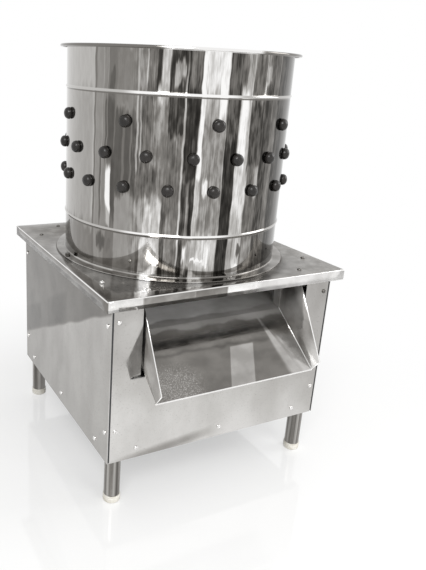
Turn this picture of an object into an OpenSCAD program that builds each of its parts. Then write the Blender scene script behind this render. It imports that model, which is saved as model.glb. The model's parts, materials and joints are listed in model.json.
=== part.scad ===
// Poultry plucker. Rubber fingers in a fixed drum and on a turning plate strip the feathers,
// which fall past the plate's rim on to a sloping tray and leave by the chute.
// The origin is on the floor at the centre of the machine's footprint, from the chute's tip to
// the back of the top plate. +Z is up, and the chute faces -Y. Inside the modules, X and Y are
// measured from the drum's axis.

/* [Cabinet] */
// Width and depth over the panels
cabinet_w = 549; // [545:1:600]
// Height of the panels' lower edge above the floor
panel_bottom_z = 110.5; // [80:0.5:115]
// Height of the top plate's upper face above the floor
plate_top_z = 480.5; // [476:0.5:520]
// Thickness of the panel sheet
panel_t = 1.2; // [0.8:0.1:2]
// Thickness of the top plate
plate_t = 1.5; // [1:0.1:2.5]
// Overhang of the top plate past the panels
plate_overhang = 19; // [8:1:40]
// Depth of the top plate's folded-down rim
rim_depth = 23.5; // [12:0.5:40]
// Open seam between a side panel and the front or back panel
corner_seam = 3.8; // [1:0.2:5]
// Distance of the drum's axis behind the centre of the footprint
drum_back = 30; // [0:0.5:60]

/* [Legs] */
// Outer diameter of a leg tube
leg_d = 35; // [25:1:40]
// Wall of a leg tube
leg_wall = 1.5; // [1:0.1:3]
// Distance from a panel's outer face to the leg's centre
leg_inset = 25.5; // [22:0.5:32]
// Height of the plastic foot below the tube
foot_h = 17; // [10:1:30]
// Diameter of the plastic foot
foot_d = 38; // [36:1:46]

/* [Frame] */
// Leg width of the bottom frame's angle
bottom_angle = 40; // [30:1:44]
// Leg width of the top frame's angle
top_angle = 20; // [16:1:22]
// Leg width of a corner post's angle
post_angle = 30; // [24:1:40]
// Thickness of those three angles
angle_t = 3; // [2:0.5:4]
// Height of a cross rail
cross_rail_h = 30; // [24:1:36]
// Width of a cross rail
cross_rail_w = 40; // [36:1:44]
// Wall of a cross rail
cross_rail_wall = 2.5; // [2:0.5:4]
// Leg width of a side rail's angle
side_rail_angle = 40; // [30:1:50]
// Thickness of a side rail's angle
side_rail_t = 4; // [3:0.5:5]
// Distance of the two bearing rails' centres from the shaft
bearing_rail_y = 75; // [70:1:80]
// Distance of the rear rail's centre behind the shaft
rear_rail_y = 222; // [216:1:222]

/* [Drum] */
// Outer diameter of the drum
drum_d = 500; // [460:1:502]
// Thickness of the drum sheet
drum_t = 1.2; // [0.8:0.1:2]
// Height of the drum's upper edge above the floor
drum_top_z = 934; // [900:1:1000]
// Height of the lower rolled bead above the top plate
bead_low_h = 90.5; // [40:0.5:150]
// Height from the upper rolled bead to the drum's upper edge
bead_high_h = 86; // [60:0.5:110]
// How far a bead stands out
bead_out = 2.2; // [1:0.1:4]
// Height of a bead along the drum
bead_tall = 9; // [6:0.5:16]
// Reach of the out-turned rim past the drum
rim_reach = 15; // [8:0.5:24]
// Diameter of the rim's curled edge
rim_curl_d = 6; // [4:0.5:8]
// Reach of the flange at the drum's foot over the top frame's angle, which carries it
flange_reach = 17.2; // [14:0.1:19]
// Thickness of that flange
flange_t = 2; // [1.5:0.5:4]

/* [Fingers] */
// Diameter of a finger's outer head
head_d = 25; // [22:0.5:30]
// Height of a finger's outer head
head_h = 14; // [8:0.5:18]
// Diameter of a finger's neck
neck_d = 16.2; // [12:0.2:19]
// Reach of a finger past the sheet that holds it
finger_reach = 80; // [60:1:95]
// Diameter near a finger's root
finger_root_d = 18; // [16:0.5:20]
// Diameter at a finger's tip
finger_tip_d = 10; // [8:0.5:12]
// Height of the lower row of fingers above the top plate
row_low_h = 183.5; // [170:0.5:190]
// Height of the middle row above the top plate
row_mid_h = 247.5; // [240:0.5:252]
// Height of the upper row above the top plate
row_high_h = 312.5; // [300:0.5:318]
// Finger places round a full row
row_count = 17; // [12:1:20]
// Angle of the first place, from +X
row_start = -101; // [-120:1:-90]

/* [Feather plate] */
// Gap between the feather plate and the drum's bore
feather_gap = 13.8; // [8:0.2:20]
// Thickness of the feather plate
feather_plate_t = 4; // [3:0.5:6]
// Height of its upper face above the top plate
feather_plate_h = 23.5; // [20:0.5:40]
// Radius of the outer ring of plate fingers
ring_out_r = 200; // [190:1:210]
// Radius of the middle ring
ring_mid_r = 142; // [132:1:150]
// Radius of the inner ring
ring_in_r = 84; // [80:1:92]
// Height of a plate finger's head under the plate
plate_head_h = 9; // [6:0.5:11]

/* [Shaft and bearings] */
// Diameter of the shaft in its bearings
shaft_d = 30; // [24:1:32]
// Height of the housing above its flange's underside
housing_h = 148; // [110:1:150]
// Outer diameter of the housing
housing_d = 90; // [84:1:94]
// Outer diameter of a bearing
bearing_d = 62; // [56:1:66]
// Width of a bearing
bearing_w = 16; // [12:1:20]
// Outer diameter of the tray's collar
collar_d = 64; // [60:1:70]

/* [Belt drive] */
// Outer diameter of the large pulley
large_pulley_d = 250; // [200:1:252]
// Outer diameter of the motor pulley
motor_pulley_d = 70; // [60:1:76]
// Distance from the main shaft to the motor shaft
centre_distance = 178; // [176:1:180]
// Width of both pulleys
pulley_w = 24; // [20:1:26]
// Width of the belt across its back
belt_top_w = 13; // [10:0.5:15]
// Height of the belt's section
belt_h = 8; // [6:0.5:9]

/* [Motor] */
// Diameter over the motor's fins
motor_d = 152; // [130:1:154]
// Length of the finned body
motor_body_h = 158; // [120:1:160]
// Length of the fan cover
fan_cover_h = 46; // [36:1:48]
// Side of the motor's square flange
motor_flange_w = 150; // [148:1:154]
// Diameter of the motor's shaft
motor_shaft_d = 24; // [19:1:28]

/* [Chute] */
// Outer width of the chute
chute_w = 400; // [340:1:404]
// Depth of the chute's floor below the top plate, where it crosses the front panel
chute_drop = 172.5; // [160:0.5:190]
// Slope of the chute's floor
chute_slope = 36.5; // [30:0.5:42]
// Slope of the feather tray
tray_slope = 12.1; // [10:0.1:12.6]
// Reach of the chute's lip in front of the panel
chute_reach = 58.2; // [40:0.2:90]
// Height of the chute's cheeks at the lip, square to the floor
cheek_h = 35; // [20:0.5:50]
// Depth below the top plate at which a cheek's edge crosses the front panel
cheek_drop = 52.5; // [44:0.5:70]
// Thickness of the chute and tray sheet
chute_t = 1.2; // [0.8:0.1:2]
// Gap between the chute and the sides of the panel's opening
opening_gap = 6; // [2:0.5:12]

/* [Switch] */
// Depth of the switch box behind the right panel
box_d = 42; // [36:1:50]
// Width of the switch box
box_w = 80; // [72:1:110]
// Height of the switch box
box_h = 120; // [112:1:140]
// Wall of the switch box
box_wall = 2.5; // [2:0.5:3]
// Place of the box along the right panel, from the drum's axis
box_y = -90; // [-150:1:40]
// Height of the box's middle above the floor
box_z = 300; // [295:1:310]
// Diameter of a button
button_d = 23.4; // [20:0.2:26]
// Travel of a button
button_travel = 4; // [2:0.5:4]

/* [Hidden] */
$fn = 96;

stainless = [0.78, 0.78, 0.76];
polished = [0.86, 0.86, 0.85];
dark_steel = [0.20, 0.20, 0.21];
iron_grey = [0.36, 0.37, 0.38];
black_rubber = [0.10, 0.10, 0.10];
pale_plastic = [0.88, 0.87, 0.84];

hair = 0.05;           // clearance where one piece only touches another
fit = 0.1;             // clearance of a pin or neck in its hole
seat = 0.3;            // gap that a moving piece keeps from its seat
through = 1;           // overshoot of a cut past the sheet

half_w = cabinet_w / 2;
inner = half_w - panel_t;
plate_half = half_w + plate_overhang;
plate_under_z = plate_top_z - plate_t;
bottom_z = panel_bottom_z + 1.5;
post_bottom_z = bottom_z + bottom_angle;
post_top_z = plate_under_z - top_angle;
side_rail_z = post_bottom_z + 6;
cross_rail_z = side_rail_z + side_rail_t;
deck_z = cross_rail_z + cross_rail_h;
cross_rail_half = inner - side_rail_t - 0.5;

// Screws and bolts: shank radius, head radius and head height
screw_r = 2.5;
screw_head_r = 4.8;
screw_head_h = 3.4;
m6_r = 3;
m10_r = 5;
nut_h = 7;
plate_screw_line = inner - top_angle / 2 - 4;
plate_screw_along = plate_screw_line - 69;
post_screw_line = inner - post_angle / 2;
row_screw_along = post_screw_line - 50;
row_screw_z = bottom_z + 22;
// Heights of the post screws, on the front and back panels and on the side panels
front_screw_high_z = plate_top_z - 54.5;
front_screw_low_z = post_bottom_z + 32;
side_screw_high_z = plate_top_z - 65.5;
side_screw_low_z = post_bottom_z + 26;

drum_r = drum_d / 2;
bore_r = drum_r - drum_t;
frame_edge = inner - top_angle;
flange_r = frame_edge + flange_reach;
flange_bolt_r = frame_edge + 7.75;
neck_r = neck_d / 2;
head_r = head_d / 2;
finger_pitch = 360 / row_count;
// The upper row takes every second place, and starts three of its fingers left of the first
high_count = floor(row_count / 2);
high_pitch = 2 * finger_pitch;
high_start = row_start - 3 * high_pitch;

feather_r = bore_r - feather_gap;
feather_top_z = plate_top_z + feather_plate_h;
feather_bottom_z = feather_top_z - feather_plate_t;
hub_flange_r = 55;
hub_flange_t = 10;
hub_boss_r = 27.5;
hub_boss_h = 20;
hub_bolt_r = 40;
hub_bottom_z = feather_bottom_z - hub_flange_t - hub_boss_h;
shaft_r = shaft_d / 2;
shoulder_r = shaft_r + 2.5;
thread_r = shaft_r - 4;
thread_h = 22;         // height of the thread above the feather plate
key_half = 4;          // half the width of the pulley's key
key_out = 3;           // how far the key stands out of the shaft

housing_r = housing_d / 2;
housing_top_z = deck_z + housing_h;
housing_flange_t = 12;
housing_flange_half_y = bearing_rail_y - 2;
housing_flange_half_x = 95;
bearing_r = bearing_d / 2;
bearing_sink = 4;      // depth of the upper bearing below the housing's top
bearing_lip = 4;       // width of the step that a bearing seats against
bearing_bolt_x = 75;
bearing_bolt_y = bearing_rail_y - 11;

pulley_z = bottom_z + 26;
large_pulley_r = large_pulley_d / 2;
motor_pulley_r = motor_pulley_d / 2;
belt_in = 0.5;         // depth of the belt's back below the pulley's rim
belt_slope = tan(20);
belt_low_w = belt_top_w - 2 * belt_h * belt_slope;

motor_y = centre_distance;
motor_r = motor_d / 2;
motor_plate_t = 8;
motor_plate_half_x = 100;
motor_plate_front_y = bearing_rail_y + 2;
motor_plate_rear = 84;  // from the motor's axis to the plate's rear edge
motor_plate_back_y = motor_y + motor_plate_rear;
motor_plate_top_z = deck_z + motor_plate_t;
motor_flange_t = 12;
motor_body_z = motor_plate_top_z + motor_flange_t;
fan_cover_z = motor_body_z + motor_body_h;
motor_bolt_in = motor_flange_w / 2 - 13;
slot_half = 3;         // play of the motor plate's slots each way, for belt tension
plate_bolt_x = 86;
plate_bolt_y = [bearing_rail_y + 11, rear_rail_y];
rotor_r = 40;
rotor_gap = 1;
rotor_low = 20;        // from the flange to the rotor
rotor_high = 30;       // from the rotor to the fan cover
motor_shaft_r = motor_shaft_d / 2;
spigot_r = motor_shaft_r + 16;
spigot_room = 2;       // clearance of the flange's spigot in the motor plate
fin_depth = 10;
fin_t = 2.5;
fin_lift = 8;          // bare part of the body above the flange
motor_end_t = 10;      // thickness of the body's end at the fan
fan_lift = 8;          // from the body's end to the fan
fan_h = 22;
motor_shaft_top_z = fan_cover_z + fan_lift + fan_h - 4;
fan_r = motor_r - 14;
fan_disc_t = 3;
vane_t = 2.4;
vane_h = 20;
terminal_lift = 30;     // from the motor's flange to the terminal box
terminal_z = motor_body_z + terminal_lift;
terminal_h = 80;
terminal_half_w = 38;
terminal_out = 36;     // from the body's outside to the terminal box's face
terminal_in = 6;       // depth of the box's root among the fins

// The chute's side outline, as points of Y and Z
chute_half = chute_w / 2;
chute_fall = tan(chute_slope);
floor_panel_z = plate_top_z - chute_drop;
lip_y = -half_w - chute_reach;
lip_z = floor_panel_z - chute_reach * chute_fall;
cheek_tip = [lip_y - cheek_h * sin(chute_slope), lip_z + cheek_h * cos(chute_slope)];
cheek_cross_z = plate_top_z - cheek_drop;
cheek_rise = (cheek_cross_z - cheek_tip[1]) / (-half_w - cheek_tip[0]);
cheek_top_z = plate_under_z - chute_t;
cheek_top_y = -half_w + (cheek_top_z - cheek_cross_z) / cheek_rise;
knee_y = -half_w + 74.5;
knee_z = floor_panel_z + (knee_y + half_w) * chute_fall;
tail = 22;
cheek_end_y = knee_y + 10;
tray_rise = tan(tray_slope);
function tray_under_z(y) = knee_z + (y - knee_y) * tray_rise;

// The tray's plan: narrow at the chute, full width under the drum
tray_front_half = chute_half - chute_t - 0.4;
tray_side_gap = 11.3;  // from the tray to the side panels
tray_back_gap = 15.3;  // from the tray to the back panel
tray_flare = 140;      // from the chute's knee to where the tray has its full width
tray_half = inner - tray_side_gap;
tray_wide_y = knee_y + tray_flare;
tray_back_y = inner - tray_back_gap;
tray_top_z = plate_under_z - angle_t;
collar_r = collar_d / 2;
collar_wall = 3;
collar_top_z = hub_bottom_z - 18;
collar_bottom_z = tray_under_z(-collar_r) - 5;

opening_half = chute_half + opening_gap;
opening_bottom_z = floor_panel_z - 10;
opening_top_z = plate_under_z - 24;

button_r = button_d / 2;
button_z = [box_z + 25, box_z - 25];
cover_t = 3;
land_y = 13;           // panel left behind the cover's upright edges
land_z = 10;           // panel left behind its level edges
box_x = inner - box_d;
block_top_x = half_w - 22;
gland_z = box_z - box_h / 2 - 25;
gland_r = 8;
cable_r = 4;

// Moves what is drawn round the drum's axis to its place in the footprint
module placed() {
    translate([0, drum_back, 0])
        children();
}

// A prism drawn as points of Y and Z, between two X values
module side_prism(points, x0, x1) {
    translate([x0, 0, 0])
        rotate([90, 0, 90])
            linear_extrude(x1 - x0)
                polygon(points);
}

// A box given by its two corners
module block(low, high) {
    translate(low)
        cube(high - low);
}

module upright(r, z0, z1, x = 0, y = 0, fn = $fn) {
    translate([x, y, z0])
        cylinder(r = r, h = z1 - z0, $fn = fn);
}

module pipe(r_out, r_in, z0, z1) {
    difference() {
        upright(r_out, z0, z1);
        upright(r_in, z0 - through, z1 + through);
    }
}

// A domed pan-head screw whose head stands up from z = 0
module pan_screw(grip) {
    rotate_extrude($fn = 32)
        polygon([[0, -grip], [screw_r, -grip], [screw_r, 0], [screw_head_r, 0],
                 [screw_head_r, screw_head_h * 0.45], [screw_head_r * 0.8, screw_head_h * 0.8],
                 [screw_head_r * 0.4, screw_head_h], [0, screw_head_h]]);
}

// A hexagon bolt with a washer under its head, which stands up from z = 0
module hex_bolt(r, grip) {
    translate([0, 0, -grip])
        cylinder(r = r, h = grip + 1, $fn = 32);
    cylinder(r = r * 2, h = 1, $fn = 32);
    translate([0, 0, 1])
        cylinder(r = r * 1.9, h = r * 1.3, $fn = 6);
}

module hex_nut(r, height) {
    difference() {
        cylinder(r = r * 1.9, h = height, $fn = 6);
        translate([0, 0, -through])
            cylinder(r = r + fit, h = height + 2 * through, $fn = 32);
    }
}

// Places one child at each screw of the four panels, its head outwards along +Z
module at_panel_screws(side) {
    high_z = side % 2 == 0 ? front_screw_high_z : side_screw_high_z;
    low_z = side % 2 == 0 ? front_screw_low_z : side_screw_low_z;
    sites = [[-post_screw_line, high_z], [post_screw_line, high_z],
             [-post_screw_line, low_z], [post_screw_line, low_z],
             [-row_screw_along, row_screw_z], [0, row_screw_z], [row_screw_along, row_screw_z]];
    rotate([0, 0, side * 90])
        for (site = sites)
            translate([site[0], -half_w, site[1]])
                rotate([90, 0, 0])
                    children();
}

module all_panel_screw_holes(r) {
    for (side = [0:3])
        at_panel_screws(side)
            translate([0, 0, -12])
                cylinder(r = r, h = 14, $fn = 32);
}

// Places one child at each of the top plate's eight screws
module at_plate_screws() {
    for (sx = [-1, 1], sy = [-1, 1]) {
        translate([sx * plate_screw_line, sy * plate_screw_along, plate_top_z])
            children();
        translate([sx * plate_screw_along, sy * plate_screw_line, plate_top_z])
            children();
    }
}

module at_flange_bolts() {
    for (turn = [0:90:270])
        rotate([0, 0, turn])
            translate([flange_bolt_r, 0, 0])
                children();
}

module at_bearing_bolts() {
    for (sx = [-1, 1], sy = [-1, 1])
        translate([sx * bearing_bolt_x, sy * bearing_bolt_y, 0])
            children();
}

module at_motor_plate_bolts() {
    for (sx = [-1, 1], y = plate_bolt_y)
        translate([sx * plate_bolt_x, y, 0])
            children();
}

module at_motor_bolts() {
    for (sx = [-1, 1], sy = [-1, 1])
        translate([sx * motor_bolt_in, motor_y + sy * motor_bolt_in, 0])
            children();
}

// Sheet metal of the cabinet

module top_plate() {
    reach = plate_half;
    slit = 0.5;
    color(polished)
        placed()
        difference() {
            union() {
                block([-reach, -reach, plate_under_z], [reach, reach, plate_top_z]);
                for (turn = [0:90:270])
                    rotate([0, 0, turn])
                        block([-reach + slit, -reach, plate_top_z - rim_depth],
                              [reach - plate_t - slit, -reach + plate_t, plate_under_z]);
            }
            upright(bore_r, plate_under_z - through, plate_top_z + through);
            at_plate_screws()
                translate([0, 0, -plate_t - through])
                    cylinder(r = screw_r + fit, h = plate_t + 2 * through, $fn = 32);
            at_flange_bolts()
                upright(m6_r + fit, plate_under_z - through, plate_top_z + through, fn = 32);
        }
}

module end_panel(side) {
    edge = half_w - panel_t - corner_seam;
    difference() {
        rotate([0, 0, side * 90])
            block([-edge, -half_w, panel_bottom_z], [edge, -inner, plate_under_z]);
        all_panel_screw_holes(screw_r + fit);
    }
}

module side_panel(side) {
    difference() {
        rotate([0, 0, side * 90])
            block([-half_w, -half_w, panel_bottom_z], [half_w, -inner, plate_under_z]);
        all_panel_screw_holes(screw_r + fit);
    }
}

module front_panel() {
    color(stainless)
        placed()
        difference() {
            end_panel(0);
            block([-opening_half, -half_w - through, opening_bottom_z],
                  [opening_half, -inner + through, opening_top_z]);
        }
}

module back_panel() {
    color(stainless)
        placed()
        end_panel(2);
}

module left_panel() {
    color(stainless)
        placed()
        side_panel(3);
}

module right_panel() {
    color(stainless)
        placed()
        difference() {
            side_panel(1);
            block([inner - through, box_y - box_w / 2 + land_y, box_z - box_h / 2 + land_z],
                  [half_w + through, box_y + box_w / 2 - land_y, box_z + box_h / 2 - land_z]);
            at_switch_screws()
                translate([0, 0, -10])
                    cylinder(r = screw_r + fit, h = 20, $fn = 32);
            translate([inner - through, box_y, gland_z])
                rotate([0, 90, 0])
                    cylinder(r = gland_r + fit, h = panel_t + 2 * through, $fn = 32);
        }
}

// Angle-iron frame

module square_ring(outer, width, z0, z1) {
    difference() {
        block([-outer, -outer, z0], [outer, outer, z1]);
        block([-outer + width, -outer + width, z0 - through],
              [outer - width, outer - width, z1 + through]);
    }
}

module bottom_frame() {
    color(dark_steel)
        placed()
        difference() {
            union() {
                square_ring(inner, bottom_angle, bottom_z, bottom_z + angle_t);
                square_ring(inner, angle_t, bottom_z, post_bottom_z);
            }
            all_panel_screw_holes(screw_r + fit);
        }
}

module top_frame() {
    color(dark_steel)
        placed()
        difference() {
            union() {
                square_ring(inner, top_angle, plate_under_z - angle_t, plate_under_z);
                square_ring(inner, angle_t, post_top_z, plate_under_z);
            }
            at_plate_screws()
                translate([0, 0, -20])
                    cylinder(r = screw_r + fit, h = 20, $fn = 32);
            at_flange_bolts()
                upright(m6_r + fit, post_top_z, plate_top_z, fn = 32);
        }
}

module corner_posts() {
    color(dark_steel)
        placed()
        difference() {
            for (turn = [0:90:270])
                rotate([0, 0, turn])
                    difference() {
                        block([inner - post_angle, inner - post_angle, post_bottom_z],
                              [inner, inner, post_top_z]);
                        block([inner - post_angle - through, inner - post_angle - through,
                               post_bottom_z - through],
                              [inner - angle_t, inner - angle_t, post_top_z + through]);
                    }
            all_panel_screw_holes(screw_r + fit);
        }
}

module side_rails() {
    end_y = inner - post_angle;
    color(dark_steel)
        placed()
        for (turn = [0, 180])
            rotate([0, 0, turn]) {
                block([inner - side_rail_angle, -end_y, side_rail_z],
                      [inner, end_y, side_rail_z + side_rail_t]);
                block([inner - side_rail_t, -end_y, side_rail_z],
                      [inner, end_y, side_rail_z + side_rail_angle]);
            }
}

module cross_rail(y) {
    half = cross_rail_w / 2;
    wall = cross_rail_wall;
    difference() {
        block([-cross_rail_half, y - half, cross_rail_z], [cross_rail_half, y + half, deck_z]);
        block([-cross_rail_half - through, y - half + wall, cross_rail_z + wall],
              [cross_rail_half + through, y + half - wall, deck_z - wall]);
    }
}

module cross_rails() {
    color(dark_steel)
        placed()
        difference() {
            for (y = [-bearing_rail_y, bearing_rail_y, rear_rail_y])
                cross_rail(y);
            at_bearing_bolts()
                upright(m10_r + fit, cross_rail_z - through, deck_z + through, fn = 32);
            at_motor_plate_bolts()
                upright(m10_r + fit, cross_rail_z - through, deck_z + through, fn = 32);
        }
}

// Legs and feet

module leg(sx, sy) {
    color(polished)
        placed()
        translate([sx * (half_w - leg_inset), sy * (half_w - leg_inset), 0])
            pipe(leg_d / 2, leg_d / 2 - leg_wall, foot_h, bottom_z);
}

module foot(sx, sy) {
    r = foot_d / 2;
    rounding = 4;
    spigot_r = leg_d / 2 - leg_wall - fit;
    color(pale_plastic)
        placed()
        translate([sx * (half_w - leg_inset), sy * (half_w - leg_inset), 0]) {
            rotate_extrude()
                polygon(concat([[0, 0]],
                               [for (a = [0:22.5:90])
                                   [r - rounding + rounding * sin(a), rounding - rounding * cos(a)]],
                               [[r, foot_h - 1], [r - 1, foot_h], [0, foot_h]]));
            upright(spigot_r, foot_h, foot_h + 25);
        }
}

module leg_front_left() { leg(-1, -1); }
module leg_front_right() { leg(1, -1); }
module leg_rear_left() { leg(-1, 1); }
module leg_rear_right() { leg(1, 1); }
module foot_front_left() { foot(-1, -1); }
module foot_front_right() { foot(1, -1); }
module foot_rear_left() { foot(-1, 1); }
module foot_rear_right() { foot(1, 1); }

// Drum

// One side of the drum's wall, as points of radius and height, with its two rolled beads
function wall_line(r) =
    concat([[r, plate_top_z]],
           [for (bead_z = [plate_top_z + bead_low_h, drum_top_z - bead_high_h], a = [0:30:360])
               [r + bead_out * (1 - cos(a)) / 2, bead_z + bead_tall * (a / 360 - 0.5)]],
           [[r, drum_top_z]]);

function reversed(list) = [for (i = [len(list) - 1:-1:0]) list[i]];

module drum_shell() {
    curl_r = rim_curl_d / 2;
    curl_centre = drum_r + rim_reach - curl_r;
    color(polished)
        placed()
        difference() {
            union() {
                rotate_extrude($fn = 180)
                    polygon(concat(wall_line(drum_r), reversed(wall_line(bore_r))));
                rotate_extrude($fn = 180)
                    polygon([[bore_r, drum_top_z - drum_t], [curl_centre, drum_top_z - drum_t],
                             [curl_centre, drum_top_z], [bore_r, drum_top_z]]);
                rotate_extrude($fn = 180)
                    translate([curl_centre, drum_top_z - curl_r])
                        circle(r = curl_r, $fn = 24);
            }
            at_lower_row() finger_hole();
            at_middle_row() finger_hole();
            at_upper_row() finger_hole();
        }
}

module finger_hole() {
    translate([0, 0, -drum_t - 4])
        cylinder(r = neck_r + fit, h = drum_t + 8, $fn = 32);
}

// Places children round the drum with z = 0 on its outer face and +Z pointing out
module at_drum_fingers(height, start, count, pitch) {
    for (i = [0:count - 1])
        rotate([0, 0, start + i * pitch])
            translate([drum_r, 0, plate_top_z + height])
                rotate([0, 90, 0])
                    children();
}

module at_lower_row() {
    at_drum_fingers(row_low_h, row_start, row_count, finger_pitch)
        children();
}

module at_middle_row() {
    at_drum_fingers(row_mid_h, row_start + finger_pitch / 2, row_count, finger_pitch)
        children();
}

module at_upper_row() {
    at_drum_fingers(row_high_h, high_start, high_count, high_pitch)
        children();
}

// A rubber finger through a sheet whose outer face is at z = 0. Its head is above, and its
// ribbed taper runs down past the sheet.
module finger(head_tall, sheet, sag) {
    ribs = 6;
    collar_r = neck_r + 2.2;
    root_r = finger_root_d / 2;
    tip_r = finger_tip_d / 2;
    rounding = min(head_tall, head_r) * 0.55;
    top = -sheet - sag;
    root = top - 8;
    tip = -sheet - finger_reach;
    step = (root - tip - 8) / ribs;
    rotate_extrude($fn = 40)
        polygon(concat(
            [[0, head_tall], [head_r - rounding - 1.5, head_tall - 0.6]],
            [for (a = [15:25:90]) [head_r - rounding + rounding * sin(a),
                                   head_tall - 0.6 - rounding + rounding * cos(a)]],
            [[head_r, 1.5], [head_r - 1, hair], [neck_r, hair], [neck_r, top],
             [collar_r, top], [collar_r, top - 3], [root_r, root]],
            [for (i = [0:ribs - 1], side = [0, 1, 2])
                let (r = root_r - (root_r - tip_r) * (i + side / 3) / ribs)
                [side == 1 ? r - 1.1 : r, root - step * (i + 0.25 + side * 0.3)]],
            [[tip_r, tip + 3], [tip_r * 0.6, tip + 0.8], [0, tip]]));
}

module drum_finger() {
    finger(head_h, drum_t, 0.45);
}

module drum_fingers_upper() {
    color(black_rubber)
        placed()
        at_upper_row() drum_finger();
}

module drum_fingers_middle() {
    color(black_rubber)
        placed()
        at_middle_row() drum_finger();
}

module drum_fingers_lower() {
    color(black_rubber)
        placed()
        at_lower_row() drum_finger();
}

module drum_flange() {
    bevel = 0.6;
    inside = drum_r + hair;
    weld = 3;
    color(polished)
        placed()
        difference() {
            translate([0, 0, plate_top_z])
                rotate_extrude($fn = 180)
                    polygon([[inside, 0], [flange_r, 0], [flange_r, flange_t - bevel],
                             [flange_r - bevel, flange_t], [inside + weld, flange_t],
                             [inside + weld * 0.3, flange_t + weld * 0.3],
                             [inside, flange_t + weld]]);
            at_flange_bolts()
                upright(m6_r + fit, plate_top_z - through, plate_top_z + flange_t + through, fn = 32);
        }
}

// Chute and tray

// The floor's line from the lip to the tail, moved square to itself by depth
function floor_line(depth) =
    [[lip_y + depth * sin(chute_slope), lip_z - depth * cos(chute_slope)],
     [knee_y + depth * tan((chute_slope + tray_slope) / 2), knee_z - depth],
     [knee_y + tail, tray_under_z(knee_y + tail) - depth / cos(tray_slope)]];

module discharge_chute() {
    hem = 5;
    hem_out = 1;
    lip_dir = [cos(chute_slope), sin(chute_slope)];
    lip_up = [-sin(chute_slope), cos(chute_slope)];
    lip = [lip_y, lip_z];
    cheek = [lip + chute_t * -lip_up, cheek_tip, [cheek_top_y, cheek_top_z],
             [cheek_end_y, cheek_top_z], [cheek_end_y, tray_under_z(cheek_end_y) - chute_t],
             floor_line(chute_t)[1]];
    color(stainless)
        placed()
        union() {
            side_prism(concat(floor_line(0), reversed(floor_line(chute_t))), -chute_half, chute_half);
            for (x = [-chute_half, chute_half - chute_t])
                side_prism(cheek, x, x + chute_t);
            side_prism([lip - lip_up * chute_t, lip + lip_dir * hem - lip_up * chute_t,
                        lip + lip_dir * hem - lip_up * (chute_t + hem_out),
                        lip - lip_up * (chute_t + hem_out)],
                       -chute_half, chute_half);
            for (sx = [-1, 1])
                block([min(sx * chute_half, sx * (chute_half + 12)), cheek_top_y + 1, cheek_top_z],
                      [max(sx * chute_half, sx * (chute_half + 12)), cheek_end_y, plate_under_z]);
            for (x = [-chute_half, chute_half - chute_t])
                block([x, cheek_top_y + 1, cheek_top_z - chute_t],
                      [x + chute_t, cheek_end_y, plate_under_z]);
        }
}

// Half of the tray's plan at a given inset, then the whole
function tray_half_plan(inset, front) =
    let (lean = (tray_half - tray_front_half) / (tray_wide_y - knee_y - tail),
         slant = inset * sqrt(1 + lean * lean),
         start_y = knee_y + tail)
    [[tray_front_half - inset, front],
     [tray_front_half - inset, start_y + (slant - inset) / lean],
     [tray_half - inset, tray_wide_y + (slant - inset) / lean],
     [tray_half - inset, tray_back_y - inset]];

module tray_prism(inset, front, z1) {
    plan = tray_half_plan(inset, front);
    translate([0, 0, knee_z - 20])
        linear_extrude(z1 - knee_z + 20)
            polygon(concat(plan, reversed([for (p = plan) [-p[0], p[1]]])));
}

module above_slope(lift, z1) {
    far = 300;
    side_prism([[knee_y - 20, tray_under_z(knee_y - 20) + lift],
                [far, tray_under_z(far) + lift], [far, z1], [knee_y - 20, z1]],
               -far, far);
}

module feather_tray() {
    floor_t = chute_t / cos(tray_slope);
    color(stainless)
        placed()
        difference() {
            intersection() {
                tray_prism(0, knee_y, tray_top_z);
                above_slope(0, tray_top_z);
            }
            intersection() {
                tray_prism(chute_t, knee_y - 10, tray_top_z + 5);
                above_slope(floor_t, tray_top_z + 5);
            }
            upright(collar_r + fit, knee_z, tray_top_z);
        }
}

module tray_collar() {
    color(stainless)
        placed()
        pipe(collar_r, collar_r - collar_wall, collar_bottom_z, collar_top_z);
}

// Shaft, bearings and what turns with the shaft

module bearing_housing() {
    color(iron_grey)
        placed()
        difference() {
            union() {
                block([-housing_flange_half_x, -housing_flange_half_y, deck_z],
                      [housing_flange_half_x, housing_flange_half_y, deck_z + housing_flange_t]);
                upright(housing_r, deck_z, housing_top_z);
            }
            upright(bearing_r - bearing_lip, deck_z - through, housing_top_z + through);
            upright(bearing_r + hair, deck_z - through, deck_z + bearing_w);
            upright(bearing_r + hair, housing_top_z - bearing_w - bearing_sink,
                    housing_top_z + through);
            at_bearing_bolts()
                upright(m10_r + fit, deck_z - through, deck_z + housing_flange_t + through, fn = 32);
        }
}

// A sealed ball bearing, with the groove between its rings on both faces
module ball_bearing(z0) {
    mid_r = (bearing_r + shaft_r) / 2;
    color("silver")
        placed()
        difference() {
            pipe(bearing_r, shaft_r + hair, z0, z0 + bearing_w);
            for (z = [z0 - through, z0 + bearing_w - 1])
                translate([0, 0, z])
                    difference() {
                        cylinder(r = mid_r + 5, h = 1 + through);
                        translate([0, 0, -through])
                            cylinder(r = mid_r - 5, h = 1 + 3 * through);
                    }
        }
}

module upper_bearing() { ball_bearing(housing_top_z - bearing_w - bearing_sink); }
module lower_bearing() { ball_bearing(deck_z); }

module main_shaft() {
    key_h = pulley_w + 10;
    color("silver")
        placed()
        union() {
            upright(shaft_r, pulley_z - pulley_w / 2 - 4, feather_top_z);
            upright(shoulder_r, housing_top_z - bearing_sink + seat, hub_bottom_z);
            upright(thread_r, feather_top_z, feather_top_z + thread_h);
            block([shaft_r - 2, -key_half, pulley_z - pulley_w / 2],
                  [shaft_r + key_out, key_half, pulley_z - pulley_w / 2 + key_h]);
        }
}

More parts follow.
